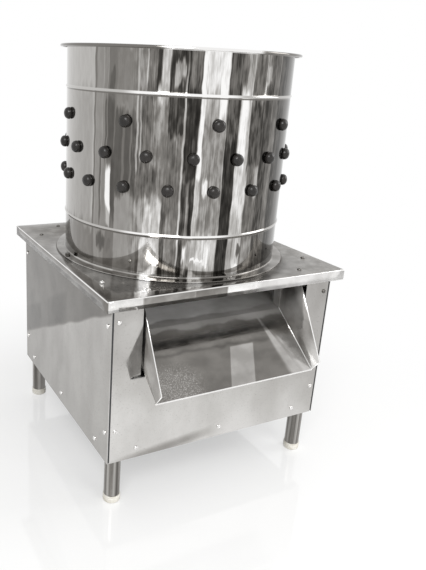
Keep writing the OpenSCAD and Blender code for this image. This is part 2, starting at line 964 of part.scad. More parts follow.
module plate_hub() {
    color(iron_grey)
        placed()
        difference() {
            union() {
                upright(hub_boss_r, hub_bottom_z, feather_bottom_z);
                upright(hub_flange_r, feather_bottom_z - hub_flange_t, feather_bottom_z);
            }
            upright(shaft_r + fit, hub_bottom_z - through, feather_bottom_z + through);
            at_hub_bolts()
                upright(m6_r + fit, hub_bottom_z, feather_bottom_z + through, fn = 32);
        }
}

module at_hub_bolts() {
    for (turn = [45:90:315])
        rotate([0, 0, turn])
            translate([hub_bolt_r, 0, 0])
                children();
}

module hub_bolts() {
    color("silver")
        placed()
        at_hub_bolts()
            translate([0, 0, feather_top_z])
                hex_bolt(m6_r, feather_plate_t + hub_flange_t);
}

// A washer and a domed cap nut on the shaft's thread
module centre_nut() {
    washer_r = 26;
    washer_t = 3;
    nut_r = 18;
    cap_h = 17;
    dome_r = 15;
    nut_top_z = feather_top_z + washer_t + cap_h;
    color(polished)
        placed()
        difference() {
            union() {
                upright(washer_r, feather_top_z, feather_top_z + washer_t);
                upright(nut_r, feather_top_z + washer_t, nut_top_z, fn = 6);
                translate([0, 0, nut_top_z - 4])
                    rotate_extrude($fn = 48)
                        polygon([for (a = [0:15:90]) [dome_r * cos(a), dome_r * sin(a)], [0, 0]]);
            }
            upright(thread_r + fit, feather_top_z - through, feather_top_z + thread_h + seat);
        }
}

module feather_plate() {
    color(stainless)
        placed()
        difference() {
            translate([0, 0, feather_bottom_z])
                rotate_extrude($fn = 180)
                    polygon([[0, 0], [feather_r - 1, 0], [feather_r, 1],
                             [feather_r, feather_plate_t - 1], [feather_r - 1, feather_plate_t],
                             [0, feather_plate_t]]);
            upright(shaft_r + fit, feather_bottom_z - through, feather_top_z + through);
            at_hub_bolts()
                upright(m6_r + fit, feather_bottom_z - through, feather_top_z + through, fn = 32);
            at_plate_fingers()
                translate([0, 0, -through])
                    cylinder(r = neck_r + fit, h = feather_plate_t + 2 * through, $fn = 32);
        }
}

// Places children at the plate fingers with z = 0 on the plate's underside
module at_plate_fingers() {
    for (ring = [[ring_out_r, 12, 15], [ring_mid_r, 8, 0], [ring_in_r, 4, 0]],
         i = [0:ring[1] - 1])
        rotate([0, 0, ring[2] + i * 360 / ring[1]])
            translate([ring[0], 0, feather_bottom_z])
                children();
}

module plate_fingers() {
    color(black_rubber)
        placed()
        at_plate_fingers()
            rotate([180, 0, 0])
                finger(plate_head_h, feather_plate_t, hair);
}

module water_slinger() {
    skirt_r = collar_r + 10;
    color(black_rubber)
        placed()
        difference() {
            upright(skirt_r, collar_top_z - 20, collar_top_z + 8);
            upright(skirt_r - 4, collar_top_z - 20 - through, collar_top_z + 4);
            upright(shoulder_r + fit, collar_top_z, collar_top_z + 8 + through);
        }
}

// Belt drive

// The groove's section, at radius r of the pulley's rim and widened by gap
function groove(r, gap) =
    [[r + through, -(belt_top_w / 2 + (belt_in + through) * belt_slope + gap)],
     [r - belt_in - belt_h - gap, -(belt_low_w / 2 + gap)],
     [r - belt_in - belt_h - gap, belt_low_w / 2 + gap],
     [r + through, belt_top_w / 2 + (belt_in + through) * belt_slope + gap]];

module pulley_rim(r, inner_r) {
    translate([0, 0, pulley_z])
        difference() {
            translate([0, 0, -pulley_w / 2])
                cylinder(r = r, h = pulley_w, $fn = 144);
            translate([0, 0, -pulley_w])
                cylinder(r = inner_r, h = 2 * pulley_w);
            rotate_extrude($fn = 144)
                polygon(groove(r, seat));
        }
}

module large_pulley() {
    rim_in = large_pulley_r - belt_h - 10;
    hub_r = 32;
    web_t = 8;
    web_hole_r = 18;
    color(iron_grey)
        placed()
        difference() {
            union() {
                pulley_rim(large_pulley_r, rim_in);
                upright(rim_in + 1, pulley_z - web_t / 2, pulley_z + web_t / 2);
                upright(hub_r, pulley_z - pulley_w / 2, pulley_z + pulley_w / 2 + 10);
            }
            upright(shaft_r + fit, pulley_z - pulley_w, pulley_z + 2 * pulley_w);
            block([0, -key_half - fit, pulley_z - pulley_w],
                  [shaft_r + key_out + fit, key_half + fit, pulley_z + 2 * pulley_w]);
            for (turn = [30:60:330])
                rotate([0, 0, turn])
                    upright(web_hole_r, pulley_z - pulley_w, pulley_z + pulley_w, x = (rim_in + hub_r) / 2);
        }
}

module motor_pulley() {
    color(iron_grey)
        placed()
        translate([0, motor_y, 0])
            difference() {
                union() {
                    pulley_rim(motor_pulley_r, motor_shaft_r + fit);
                    upright(motor_shaft_r + 8, pulley_z + pulley_w / 2, pulley_z + pulley_w / 2 + 8);
                }
                upright(motor_shaft_r + fit, pulley_z - pulley_w, pulley_z + 2 * pulley_w);
            }
}

// Stations round the belt's path: the pulley's centre along Y, the belt's outer radius there
// and the angle from +X
function belt_stations(big_r, small_r, lean) =
    let (big_steps = 48, small_steps = 12)
    concat([for (i = [0:small_steps])
               [motor_y, small_r, lean + (180 - 2 * lean) * i / small_steps]],
           [for (i = [0:big_steps])
               [0, big_r, 180 - lean + (180 + 2 * lean) * i / big_steps]]);

// The belt: one trapezium carried round both pulleys and along the two straight runs
module v_belt() {
    big_r = large_pulley_r - belt_in;
    small_r = motor_pulley_r - belt_in;
    stations = belt_stations(big_r, small_r, asin((big_r - small_r) / centre_distance));
    section = [[0, -belt_top_w / 2], [0, belt_top_w / 2],
               [-belt_h, belt_low_w / 2], [-belt_h, -belt_low_w / 2]];
    points = [for (at = stations, corner = section)
        let (r = at[1] + corner[0])
        [r * cos(at[2]), at[0] + r * sin(at[2]), corner[1]]];
    count = len(stations);
    faces = [for (i = [0:count - 1], k = [0:3])
        let (here = i * 4, ahead = (i + 1) % count * 4, next = (k + 1) % 4)
        each [[here + k, here + next, ahead + next], [here + k, ahead + next, ahead + k]]];
    color(black_rubber)
        placed()
        translate([0, 0, pulley_z])
            polyhedron(points = points, faces = faces);
}

// Motor

module motor_plate() {
    color(dark_steel)
        placed()
        difference() {
            block([-motor_plate_half_x, motor_plate_front_y, deck_z],
                  [motor_plate_half_x, motor_plate_back_y, motor_plate_top_z]);
            upright(spigot_r + spigot_room, deck_z - through, motor_plate_top_z + through, y = motor_y);
            at_motor_bolts()
                upright(m10_r + fit, deck_z - through, motor_plate_top_z + through, fn = 32);
            at_motor_plate_bolts() {
                for (y = [-slot_half, slot_half])
                    upright(m10_r + fit, deck_z - through, motor_plate_top_z + through, y = y, fn = 32);
                block([-m10_r, -slot_half, deck_z - through],
                      [m10_r, slot_half, motor_plate_top_z + through]);
            }
        }
}

module motor_flange() {
    half = motor_flange_w / 2;
    color(iron_grey)
        placed()
        difference() {
            union() {
                block([-half, motor_y - half, motor_plate_top_z], [half, motor_y + half, motor_body_z]);
                upright(spigot_r, motor_plate_top_z - 4, motor_plate_top_z, y = motor_y);
            }
            upright(motor_shaft_r + hair, deck_z, motor_body_z + through, y = motor_y);
            at_motor_bolts()
                upright(m10_r + fit, motor_plate_top_z - through, motor_body_z + through, fn = 32);
        }
}

module motor_body() {
    fins = 28;
    core_r = motor_r - fin_depth;
    color(iron_grey)
        placed()
        translate([0, motor_y, 0])
            difference() {
                union() {
                    upright(core_r, motor_body_z, fan_cover_z);
                    for (i = [0:fins - 1])
                        rotate([0, 0, (i + 0.5) * 360 / fins])
                            block([core_r - 1, -fin_t / 2, motor_body_z + fin_lift],
                                  [motor_r, fin_t / 2, fan_cover_z]);
                }
                upright(rotor_r + rotor_gap, motor_body_z - through, fan_cover_z - motor_end_t);
                upright(motor_shaft_r + hair, motor_body_z, fan_cover_z + through);
            }
}

module fan_cover() {
    wall = 1.5;
    r = motor_r;
    color(dark_steel)
        placed()
        translate([0, motor_y, 0])
            difference() {
                upright(r, fan_cover_z, fan_cover_z + fan_cover_h);
                upright(r - wall, fan_cover_z - through, fan_cover_z + fan_cover_h - wall);
                for (ring = [22, 38, 54], turn = [0:45:315])
                    rotate([0, 0, turn + ring])
                        upright(5, fan_cover_z, fan_cover_z + fan_cover_h + through, x = ring, fn = 24);
            }
}

module terminal_box() {
    high_z = terminal_z + terminal_h;
    color(iron_grey)
        placed()
        difference() {
            block([motor_r - terminal_in, motor_y - terminal_half_w, terminal_z],
                  [motor_r + terminal_out, motor_y + terminal_half_w, high_z]);
            translate([0, motor_y, 0])
                upright(motor_r + hair, terminal_z - through, high_z + through);
        }
}

module motor_shaft() {
    color("silver")
        placed()
        translate([0, motor_y, 0]) {
            upright(motor_shaft_r, pulley_z - pulley_w / 2 - 2, motor_shaft_top_z);
            upright(rotor_r, motor_body_z + rotor_low, fan_cover_z - rotor_high);
        }
}

module motor_fan() {
    color(pale_plastic)
        placed()
        translate([0, motor_y, fan_cover_z + fan_lift])
            difference() {
                union() {
                    cylinder(r = motor_shaft_r + 6, h = fan_h);
                    cylinder(r = fan_r, h = fan_disc_t);
                    for (turn = [0:45:315])
                        rotate([0, 0, turn])
                            block([motor_shaft_r + 4, -vane_t / 2, 0], [fan_r, vane_t / 2, vane_h]);
                }
                translate([0, 0, -through])
                    cylinder(r = motor_shaft_r + fit, h = fan_h + 2 * through);
            }
}

// Fasteners

module top_plate_screws() {
    color("silver")
        placed()
        at_plate_screws()
            pan_screw(plate_t + angle_t - 0.2);
}

module panel_screws() {
    color("silver")
        placed()
        for (side = [0:3])
            at_panel_screws(side)
                pan_screw(panel_t + angle_t + 1.5);
}

module flange_bolts() {
    color("silver")
        placed()
        at_flange_bolts()
            translate([0, 0, plate_top_z + flange_t])
                hex_bolt(m6_r, flange_t + plate_t + angle_t - 0.2);
}

module bearing_bolts() {
    color("silver")
        placed()
        at_bearing_bolts() {
            translate([0, 0, deck_z + housing_flange_t])
                hex_bolt(m10_r * 0.9, housing_flange_t + cross_rail_h + nut_h + 1);
            translate([0, 0, cross_rail_z - nut_h])
                hex_nut(m10_r * 0.9, nut_h);
        }
}

module motor_bolts() {
    color("silver")
        placed() {
            at_motor_bolts()
                translate([0, 0, motor_body_z])
                    hex_bolt(m10_r * 0.85, motor_flange_t + motor_plate_t - 0.5);
            at_motor_plate_bolts() {
                translate([0, 0, motor_plate_top_z])
                    hex_bolt(m10_r * 0.9, motor_plate_t + cross_rail_h + nut_h + 1);
                translate([0, 0, cross_rail_z - nut_h])
                    hex_nut(m10_r * 0.9, nut_h);
            }
        }
}

// Switch

module at_switch_screws() {
    for (sy = [-1, 1], sz = [-1, 1])
        translate([half_w, box_y + sy * (box_w / 2 - 7), box_z + sz * (box_h / 2 - 7)])
            rotate([0, 90, 0])
                children();
}

module switch_box() {
    low = [box_x, box_y - box_w / 2, box_z - box_h / 2];
    high = [inner, box_y + box_w / 2, box_z + box_h / 2];
    wall = [box_wall, box_wall, box_wall];
    color("gainsboro")
        placed()
        difference() {
            union() {
                difference() {
                    block(low, high);
                    block(low + wall, high + [through, -box_wall, -box_wall]);
                }
                for (sy = [-1, 1], sz = [-1, 1])
                    translate([box_x + 1, box_y + sy * (box_w / 2 - 7), box_z + sz * (box_h / 2 - 7)])
                        rotate([0, 90, 0])
                            cylinder(r = 4.8, h = box_d - 1, $fn = 32);
            }
            at_switch_screws()
                translate([0, 0, -15])
                    cylinder(r = screw_r + fit, h = 20, $fn = 32);
            upright(gland_r, low[2] - through, low[2] + box_wall + through,
                    x = inner - 12, y = box_y, fn = 32);
        }
}

module switch_cover() {
    color("gainsboro")
        placed()
        difference() {
            union() {
                block([half_w, box_y - box_w / 2, box_z - box_h / 2],
                      [half_w + cover_t, box_y + box_w / 2, box_z + box_h / 2]);
                for (z = button_z)
                    translate([half_w, box_y, z])
                        rotate([0, 90, 0])
                            cylinder(r = button_r + 5, h = cover_t + 3);
            }
            for (z = button_z)
                translate([half_w - through, box_y, z])
                    rotate([0, 90, 0])
                        cylinder(r = button_r + seat, h = cover_t + 10);
            at_switch_screws()
                translate([0, 0, -through])
                    cylinder(r = screw_r + fit, h = cover_t + 2 * through, $fn = 32);
        }
}

module switch_screws() {
    color("silver")
        placed()
        at_switch_screws()
            translate([0, 0, cover_t])
                pan_screw(cover_t + 12);
}

module switch_block() {
    color(dark_steel)
        placed()
        block([box_x + box_wall, box_y - 18, box_z - 45], [block_top_x, box_y + 18, box_z + 45]);
}

// A push button: cap, retaining collar behind the cover, and stem
module button(z) {
    collar = 2.5;
    collar_x = half_w - seat - collar;
    stem_x = block_top_x + 0.5 + button_travel;
    translate([0, box_y, z])
        rotate([0, 90, 0]) {
            translate([0, 0, stem_x])
                cylinder(r = 4, h = collar_x - stem_x + 1);
            translate([0, 0, collar_x])
                cylinder(r = button_r + 2.5, h = collar);
            translate([0, 0, collar_x + collar])
                rotate_extrude($fn = 64)
                    polygon([[0, 0], [button_r, 0], [button_r, 11.5], [button_r - 0.4, 12.4],
                             [button_r - 1.5, 13], [0, 13]]);
        }
}

module start_button() {
    color([0.16, 0.50, 0.24])
        placed()
        button(button_z[0]);
}

module stop_button() {
    color([0.70, 0.12, 0.10])
        placed()
        button(button_z[1]);
}

// A coil spring round the stem, from the switch block to the button's collar
module button_spring(z) {
    curls = 5;
    steps = 8;
    sides = 6;
    wire_r = 0.6;
    coil_r = 6.5;
    start_x = block_top_x + wire_r + seat;
    length = half_w - seat - 2.5 - wire_r - seat - start_x;
    rings = curls * steps;
    points = [for (i = [0:rings], k = [0:sides - 1])
        let (turn = i * 360 / steps, lean = k * 360 / sides, r = coil_r + wire_r * cos(lean))
        [start_x + length * i / rings + wire_r * sin(lean), r * cos(turn), r * sin(turn)]];
    walls = [for (i = [0:rings - 1], k = [0:sides - 1])
        let (next = (k + 1) % sides)
        each [[i * sides + k, i * sides + next, (i + 1) * sides + k],
              [i * sides + next, (i + 1) * sides + next, (i + 1) * sides + k]]];
    ends = [for (k = [1:sides - 2])
        each [[0, k + 1, k], [rings * sides, rings * sides + k, rings * sides + k + 1]]];
    translate([0, box_y, z])
        polyhedron(points = points, faces = concat(walls, ends));
}

module start_spring() {
    color("silver")
        placed()
        button_spring(button_z[0]);
}

module stop_spring() {
    color("silver")
        placed()
        button_spring(button_z[1]);
}

// The gland that the supply cord would come in by, through the right panel
module cable_gland() {
    nut_t = 5;
    dome = 13;
    out = panel_t + nut_t;
    color(black_rubber)
        placed()
        translate([inner, box_y, gland_z])
            rotate([0, 90, 0])
                difference() {
                    union() {
                        upright(gland_r, -nut_t - 1, out);
                        upright(13, -nut_t, 0, fn = 6);
                        upright(13, panel_t, out, fn = 6);
                        rotate_extrude($fn = 48)
                            polygon([[0, out - 1], [10.5, out - 1], [10.5, out + dome * 0.6],
                                     [9, out + dome * 0.85], [6.5, out + dome], [0, out + dome]]);
                    }
                    upright(cable_r, -nut_t - 2, out + dome + 1, fn = 32);
                }
}

top_plate();
front_panel();
back_panel();
left_panel();
right_panel();
bottom_frame();
corner_posts();
top_frame();
side_rails();
cross_rails();
leg_front_left();
leg_front_right();
leg_rear_left();
leg_rear_right();
foot_front_left();
foot_front_right();
foot_rear_left();
foot_rear_right();
drum_shell();
drum_flange();
drum_fingers_upper();
drum_fingers_middle();
drum_fingers_lower();
discharge_chute();
feather_tray();
tray_collar();
bearing_housing();
upper_bearing();
lower_bearing();
v_belt();
motor_plate();
motor_flange();
motor_body();
fan_cover();
terminal_box();
switch_box();
switch_cover();
switch_block();
cable_gland();
top_plate_screws();
panel_screws();
flange_bolts();
bearing_bolts();
motor_bolts();
switch_screws();
feather_plate();
plate_fingers();
plate_hub();
hub_bolts();
centre_nut();
main_shaft();
water_slinger();
large_pulley();
motor_shaft();
motor_fan();
motor_pulley();
start_button();
stop_button();
start_spring();
stop_spring();
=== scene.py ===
# %% [markdown]
# Poultry plucker.
# Feathers come off a scalded bird when rubber fingers rub it. Here the fingers stand in a fixed
# drum and on a turning plate at its foot. The drum sits on a square cabinet of sheet steel that
# hides the belt drive, and the feathers slide out over a chute at the front.
#
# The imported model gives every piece's place, in metres, with +Z up and the chute facing -Y. It is
# loaded first and never moved. This script only dresses it: some pieces keep their shape and get
# a finish, others are hidden and replaced by a finer mesh in the same place.

# %% Load the fixed frame
import json
import math

import bmesh
import bpy
from mathutils import Matrix, Vector


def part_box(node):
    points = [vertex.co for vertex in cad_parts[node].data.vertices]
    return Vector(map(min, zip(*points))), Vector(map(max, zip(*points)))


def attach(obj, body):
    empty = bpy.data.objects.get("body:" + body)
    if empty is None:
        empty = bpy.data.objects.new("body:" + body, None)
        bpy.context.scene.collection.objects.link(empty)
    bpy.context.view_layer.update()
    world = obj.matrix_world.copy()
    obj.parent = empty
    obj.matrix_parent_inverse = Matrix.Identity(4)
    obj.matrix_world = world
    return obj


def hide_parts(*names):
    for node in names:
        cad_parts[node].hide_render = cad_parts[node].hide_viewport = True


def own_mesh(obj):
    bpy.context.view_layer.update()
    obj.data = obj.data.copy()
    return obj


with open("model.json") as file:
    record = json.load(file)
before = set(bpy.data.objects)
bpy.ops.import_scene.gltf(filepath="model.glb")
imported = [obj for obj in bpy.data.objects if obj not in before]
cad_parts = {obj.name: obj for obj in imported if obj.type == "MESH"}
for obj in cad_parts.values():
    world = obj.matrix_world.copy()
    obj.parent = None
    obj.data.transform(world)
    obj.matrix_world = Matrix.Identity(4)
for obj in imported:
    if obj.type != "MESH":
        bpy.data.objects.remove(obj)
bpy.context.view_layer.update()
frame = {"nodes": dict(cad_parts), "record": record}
nodes = frame["nodes"]
MM = 0.001
print("nodes loaded:", len(nodes))

# %% [markdown]
# A few measures drive everything that is modelled here. They are read from the boxes of the
# loaded pieces where a box can tell them.

# %% Main measures
drum_low, drum_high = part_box("drum_shell")
plate_low, plate_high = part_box("top_plate")
feather_low, feather_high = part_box("feather_plate")

AXIS = Vector(((drum_low.x + drum_high.x) / 2, (drum_low.y + drum_high.y) / 2, 0))
RIM_REACH = 15 * MM
DRUM_R = (drum_high.x - drum_low.x) / 2 - RIM_REACH
SHEET = 1.2 * MM
PLATE_TOP = plate_high.z
DRUM_TOP = drum_high.z
UP = Vector((0, 0, 1))
print("drum radius", round(DRUM_R, 4), "m, axis at y", round(AXIS.y, 4))

# %% [markdown]
# The chute is set out in the machine's side plane. Its floor climbs from the lip to a knee
# under the drum, then less steeply into the tray, and its cheeks stand square to the floor.

# %% Measures of the chute
SLOPE, TRAY_SLOPE = math.radians(36.5), math.radians(12.1)
CHUTE_HALF = 200 * MM
CHUTE_TOP = 477.8 * MM
CHEEK_H = 35 * MM
BEND_R = 2.5 * MM
HEM_R = 1.1 * MM
KNEE_RUN, TAIL_RUN = 132.7 * MM, 22 * MM  # along Y, from lip to knee and from knee to tail


def uphill_and_square(slope):
    """The way up a slope in the side plane, and the way that stands square to it."""
    return (Vector((0, math.cos(slope), math.sin(slope))),
            Vector((0, -math.sin(slope), math.cos(slope))))


uphill, square_up = uphill_and_square(SLOPE)
along_tray, tray_up = uphill_and_square(TRAY_SLOPE)
LIP = Vector((0, -332.7 * MM + AXIS.y, 264.8 * MM))
KNEE = LIP + uphill * (KNEE_RUN / math.cos(SLOPE))
TAIL = KNEE + along_tray * (TAIL_RUN / math.cos(TRAY_SLOPE))
CHEEK_TIP = LIP + square_up * CHEEK_H
CHEEK_CROSS = Vector((0, -274.5 * MM + AXIS.y, 428 * MM))  # where it crosses the panel

# %% [markdown]
# Colours are written as sRGB hex codes, as a paint chart gives them. Shaders work in linear
# light, so one function turns a code into linear values.

# %% Colour helper
def paint(code):
    """Linear RGBA of an sRGB hex code such as 'b5b1ac'."""
    parts = [int(code[i:i + 2], 16) / 255 for i in (0, 2, 4)]
    return [p / 12.92 if p <= 0.04045 else ((p + 0.055) / 1.055) ** 2.4 for p in parts] + [1.0]


# %% [markdown]
# Both materials and Geometry Nodes are trees of nodes. One small function adds a node, sets its
# properties and fills its inputs, either with a value or with a wire from another node's output.
# A socket knows the tree that it is in, so the patterns below need only be given sockets.

# %% Node helper
def add(owner, kind, settings=None, inputs=None):
    """Add a node to a tree, or to the tree of a socket; inputs are values, or sockets to wire
    in, by the input's name or number."""
    tree = owner.id_data
    node = tree.nodes.new(kind)
    for name, value in (settings or {}).items():
        setattr(node, name, value)
    for name, value in (inputs or {}).items():
        if isinstance(value, bpy.types.NodeSocket):
            tree.links.new(value, node.inputs[name])
        else:
            node.inputs[name].default_value = value
    return node


def math_of(operation, *terms):
    """The output of a Math node, which most patterns below are woven from."""
    owner = next(term for term in terms if isinstance(term, bpy.types.NodeSocket))
    node = add(owner, "ShaderNodeMath", {"operation": operation}, dict(enumerate(terms)))
    return node.outputs[0]


def start_material(name, **constants):
    """A material with a Principled shader; constants go straight on to the shader's sockets."""
    material = bpy.data.materials.new(name)
    material.use_nodes = True
    tree = material.node_tree
    tree.nodes.clear()
    shader = add(tree, "ShaderNodeBsdfPrincipled")
    for socket, value in constants.items():
        shader.inputs[socket.replace("_", " ")].default_value = value
    add(tree, "ShaderNodeOutputMaterial", inputs={"Surface": shader.outputs[0]})
    place = add(tree, "ShaderNodeTexCoord").outputs["Object"]
    return material, shader, place


# %% [markdown]
# Patterns that several finishes share. Polished and rolled sheet gets its look from very soft,
# wide waves that bend reflections, from a fine directional grain, and from smudges that are
# duller than the metal round them. Each is a noise texture, stretched along the grain.

# %% Shared patterns
def grain(place, size, stretch=(1, 1, 1), detail=3.0, seed=(0, 0, 0)):
    """Noise from 0 to 1 with features of a real size in metres, stretched by a factor each way."""
    scaled = [1 / (size * s) for s in stretch]
    mapped = add(place, "ShaderNodeMapping",
                 inputs={"Vector": place, "Location": seed, "Scale": scaled})
    noise = add(place, "ShaderNodeTexNoise",
                inputs={"Vector": mapped.outputs[0], "Scale": 1.0, "Detail": detail})
    return noise.outputs[0]


def between(value, low, high, to_low, to_high):
    """Map a value from one range to another, with soft ends, and clamp it there."""
    node = add(value, "ShaderNodeMapRange", {"interpolation_type": "SMOOTHSTEP"},
               {0: value, 1: low, 2: high, 3: to_low, 4: to_high})
    return node.outputs[0]


def past(value, low, high):
    """0 below one value and 1 above another, with a soft ramp between them."""
    return between(value, low, high, 0.0, 1.0)


def short_of(value, low, high):
    """1 below one value and 0 above another, with a soft ramp between them."""
    return between(value, low, high, 1.0, 0.0)


def swing(place, size, amount, stretch=(1, 1, 1), detail=3.0):
    """Noise of a real size that swings between minus an amount and plus it."""
    return between(grain(place, size, stretch, detail), 0.3, 0.7, -amount, amount)


def mixed(factor, first, second):
    """Blend two numbers by a factor from 0 to 1."""
    node = add(factor, "ShaderNodeMix", {"data_type": "FLOAT"}, {0: factor, 2: first, 3: second})
    return node.outputs[0]


def patch(place, centre, size):
    """A soft spot: 1 at its centre, falling to 0 at an ellipsoid of the given half sizes."""
    mapped = add(place, "ShaderNodeMapping", {"vector_type": "TEXTURE"},
                 {"Vector": place, "Location": centre, "Scale": size})
    ball = add(place, "ShaderNodeTexGradient", {"gradient_type": "SPHERICAL"},
               {"Vector": mapped.outputs[0]})
    return past(ball.outputs["Fac"], 0.0, 0.55)


STEEL_STOPS = {0.0: "121110", 0.25: "403e3b", 0.5: "807d79", 0.75: "bfbdba", 1.0: "fbfaf9"}


def steel_colour(shade):
    """Warm-grey steel from a shade of 0, black, to 1, as bright as polished steel gets."""
    ramp = add(shade, "ShaderNodeValToRGB", inputs={0: shade})
    elements = ramp.color_ramp.elements
    while len(elements) < len(STEEL_STOPS):
        elements.new(0.5)
    for element, (position, code) in zip(elements, STEEL_STOPS.items()):
        element.position = position
        element.color = paint(code)
    return ramp.outputs[0]


def wire(socket, shader, name):
    """Wire a socket into one of the shader's inputs."""
    shader.id_data.links.new(socket, shader.inputs[name])


def dress(shader, colour, waves, depth, rough=None):
    """Wire a colour and perhaps a roughness in, and bend the shading by waves of a real depth."""
    wire(colour, shader, "Base Color")
    wire(add(shader, "ShaderNodeBump", inputs={"Height": waves, "Distance": depth}).outputs[0],
         shader, "Normal")
    if rough is not None:
        wire(rough, shader, "Roughness")


# %% [markdown]
# A mirror shows what stands round it, and a plain white studio has little to show. So the light and
# dark fields that a workshop would throw on the metal are part of the finish, placed on the object
# itself. Most are strips: bands between two values of some measure, such as the angle round the
# drum.

# %% Strips
def strip(value, low, high, soft):
    """1 between two values and 0 outside them, with soft edges."""
    off = math_of("ABSOLUTE", math_of("SUBTRACT", value, (low + high) / 2))
    half = (high - low) / 2
    return short_of(off, half - soft, half + soft)


def laid_over(shade, measure, fields, soft):
    """Lay fields of (from, to, shade), in mm along a measure, over a shade."""
    for low, high, tone in fields:
        shade = mixed(strip(measure, low * MM, high * MM, soft), shade, tone)
    return shade


def both(first, second):
    """Where two masks overlap."""
    return math_of("MULTIPLY", first, second)


def either(first, second):
    """Where one mask or the other is."""
    return math_of("MAXIMUM", first, second)


def plus(first, second):
    """The sum of two numbers."""
    return math_of("ADD", first, second)


def slanted(first, slope, second):
    """first + slope x second, which runs across a slanting line."""
    return math_of("MULTIPLY_ADD", second, slope, first)


def round_the_axis(place):
    """X, Y and Z measured from the drum's axis."""
    moved = add(place, "ShaderNodeVectorMath", {"operation": "SUBTRACT"}, {0: place, 1: AXIS})
    return add(place, "ShaderNodeSeparateXYZ", inputs={0: moved.outputs[0]}).outputs


# %% [markdown]
# The drum is mirror-rolled stainless steel (grade 304, 1.2 mm), bent round and welded. A mirror
# cylinder squeezes everything round it into upright streaks with sharp edges, calm and pale on the
# left, black and white by turns in front: here they are painted reflections. Noise stretched along
# the height mottles them where the front is busy, and makes painted streaks of the same kind round
# the back. Each rolled bead gets a painted highlight, a bright line, with a painted shadow line
# under it, and the rim gets a painted highlight in front.

# %% Mirror-rolled drum steel
ALL = (0, 940)
DRUM_STREAKS = [  # painted reflections: degrees from and to, round from +X; shade; lowest and highest point in mm
    (-200, -161.6, 0.70, (850, 940)), (-200, -147.9, 0.50, (0, 571)), (-161.6, -160.3, 0.46, ALL),
    (-160.3, -156, 0.56, ALL), (-157.4, -156.3, 0.38, (590, 722)), (-156, -153.4, 0.53, ALL),
    (-154.4, -153.4, 0.35, (720, 845)), (-153.4, -148.4, 0.46, ALL),
    (-152.8, -149.2, 0.34, (725, 842)), (-152.4, -149.6, 0.35, (850, 892)),
    (-153.4, -150.4, 0.97, (612, 702)), (-153, -150.8, 0.73, (575, 612)),
    (-150.4, -147.8, 0.32, (590, 725)), (-148.6, -138, 0.51, (812, 940)),
    (-148.6, -138, 0.34, (640, 812)), (-144.6, -143.4, 0.45, (660, 805)),
    (-140.6, -139.9, 0.48, (660, 812)), (-147.9, -133, 0.58, (0, 650)),
    (-138, -134, 0.53, (850, 940)), (-138, -131.6, 0.40, (640, 850)),
    (-136.2, -135.6, 0.67, (700, 850)), (-138, -137.1, 0.68, (700, 940)),
    (-133.3, -129.6, 0.46, (850, 940)), (-133.9, -133.4, 0.85, (860, 940)),
    (-129.6, -127.4, 0.27, (858, 940)), (-131.6, -122.4, 0.50, (640, 830)),
    (-127.8, -126.2, 0.59, (650, 828)), (-127.4, -123.7, 0.72, (836, 940)),
    (-131.6, -127.8, 0.37, (652, 705)), (-133, -123.5, 0.78, (0, 640)),
    (-123.6, -116.8, 0.24, (762, 940)), (-121.8, -117.4, 0.63, (870, 908)),
    (-124.6, -116.8, 0.44, (0, 762)), (-124.6, -122.8, 0.36, (0, 650)),
    (-122.6, -119.6, 0.57, (0, 600)), (-116.9, -116, 0.75, (590, 838)),
    (-116, -110.2, 0.20, (690, 940)), (-116, -113.6, 0.25, (0, 690)),
    (-113.6, -112.3, 0.53, (0, 690)), (-112.3, -110.2, 0.20, (0, 690)),
    (-109.9, -107.9, 1.00, (690, 940)), (-110, -107, 0.75, (0, 690)),
    (-107.9, -97.4, 0.57, (0, 800)), (-107.9, -97.4, 0.66, (800, 850)),
    (-107.9, -97.4, 0.90, (850, 940)), (-101.6, -98, 0.98, (800, 940)),
    (-106.9, -104.4, 0.97, (652, 690)), (-97.2, -91.2, 0.17, (0, 770)),
    (-97.2, -90.6, 0.32, (770, 940)), (-90.6, -84.4, 0.76, (720, 940)),
    (-90, -86.2, 0.97, (722, 850)), (-91, -83.6, 0.84, (612, 722)), (-91, -83.6, 0.76, (0, 612)),
    (-84.4, -76, 0.31, (705, 850)), (-84.4, -77, 0.43, (850, 940)), (-83.6, -76, 0.40, (0, 705)),
    (-78.6, -75.2, 0.65, (640, 705)), (-76.8, -73.4, 0.44, (903, 940)),
    (-76, -70.4, 0.29, (0, 882)), (-73.4, -70.4, 0.33, (882, 940)),
    (-76.8, -73.4, 0.64, (882, 903)), (-70.4, -65.6, 0.43, ALL), (-65.6, -58, 0.25, ALL),
    (-58, -38, 0.31, ALL), (-115.4, -110.6, 0.42, (856, 940)), (-91, -88, 0.43, (856, 940)),
    (-88, -84.8, 0.60, (856, 940)),
]
FOOT_MARKS = [  # the same, for the small reflections of things close to the drum's foot
    (-112.6, -107.9, 0.66, (498, 568)), (-107.9, -97.6, 0.80, (498, 568)),
    (-91, -88.2, 0.60, (498, 568)), (-83, -76, 0.55, (498, 568)), (-158.5, -153, 0.36, (522, 558)),
    (-151.6, -149.4, 0.42, (516, 548)), (-134.6, -126.6, 0.98, (482, 552)),
    (-114, -112.4, 0.98, (512, 558)), (-103.6, -101.4, 0.96, (517, 558)),
    (-110, -101.4, 0.95, (512, 520)), (-85.6, -82.8, 0.36, (521, 548)),
    (-87, -84, 0.98, (486, 503)),
]
MOTTLES = [  # size in mm, stretch along the height, detail; how strong elsewhere and in front
    (2.2, 50, 2.0, 0.006, 0.065), (9, 3.5, 2.5, 0.015, 0.085),
]
BEAD_HEIGHTS = (571 * MM, 848 * MM)
CALM_LEFT = (-228, -161.6)    # degrees between which the wall is calm
BUSY_FRONT = (-139, -58)      # and between which the streaks are mottled,
BRIGHT_BEADS = (-142, -92)    # the beads' painted highlight is brightest
BRIGHT_RIM = (-127, -84)      # and so is the rim's painted highlight
STREAK_FADE = 0.34            # degrees over which a streak's edge fades


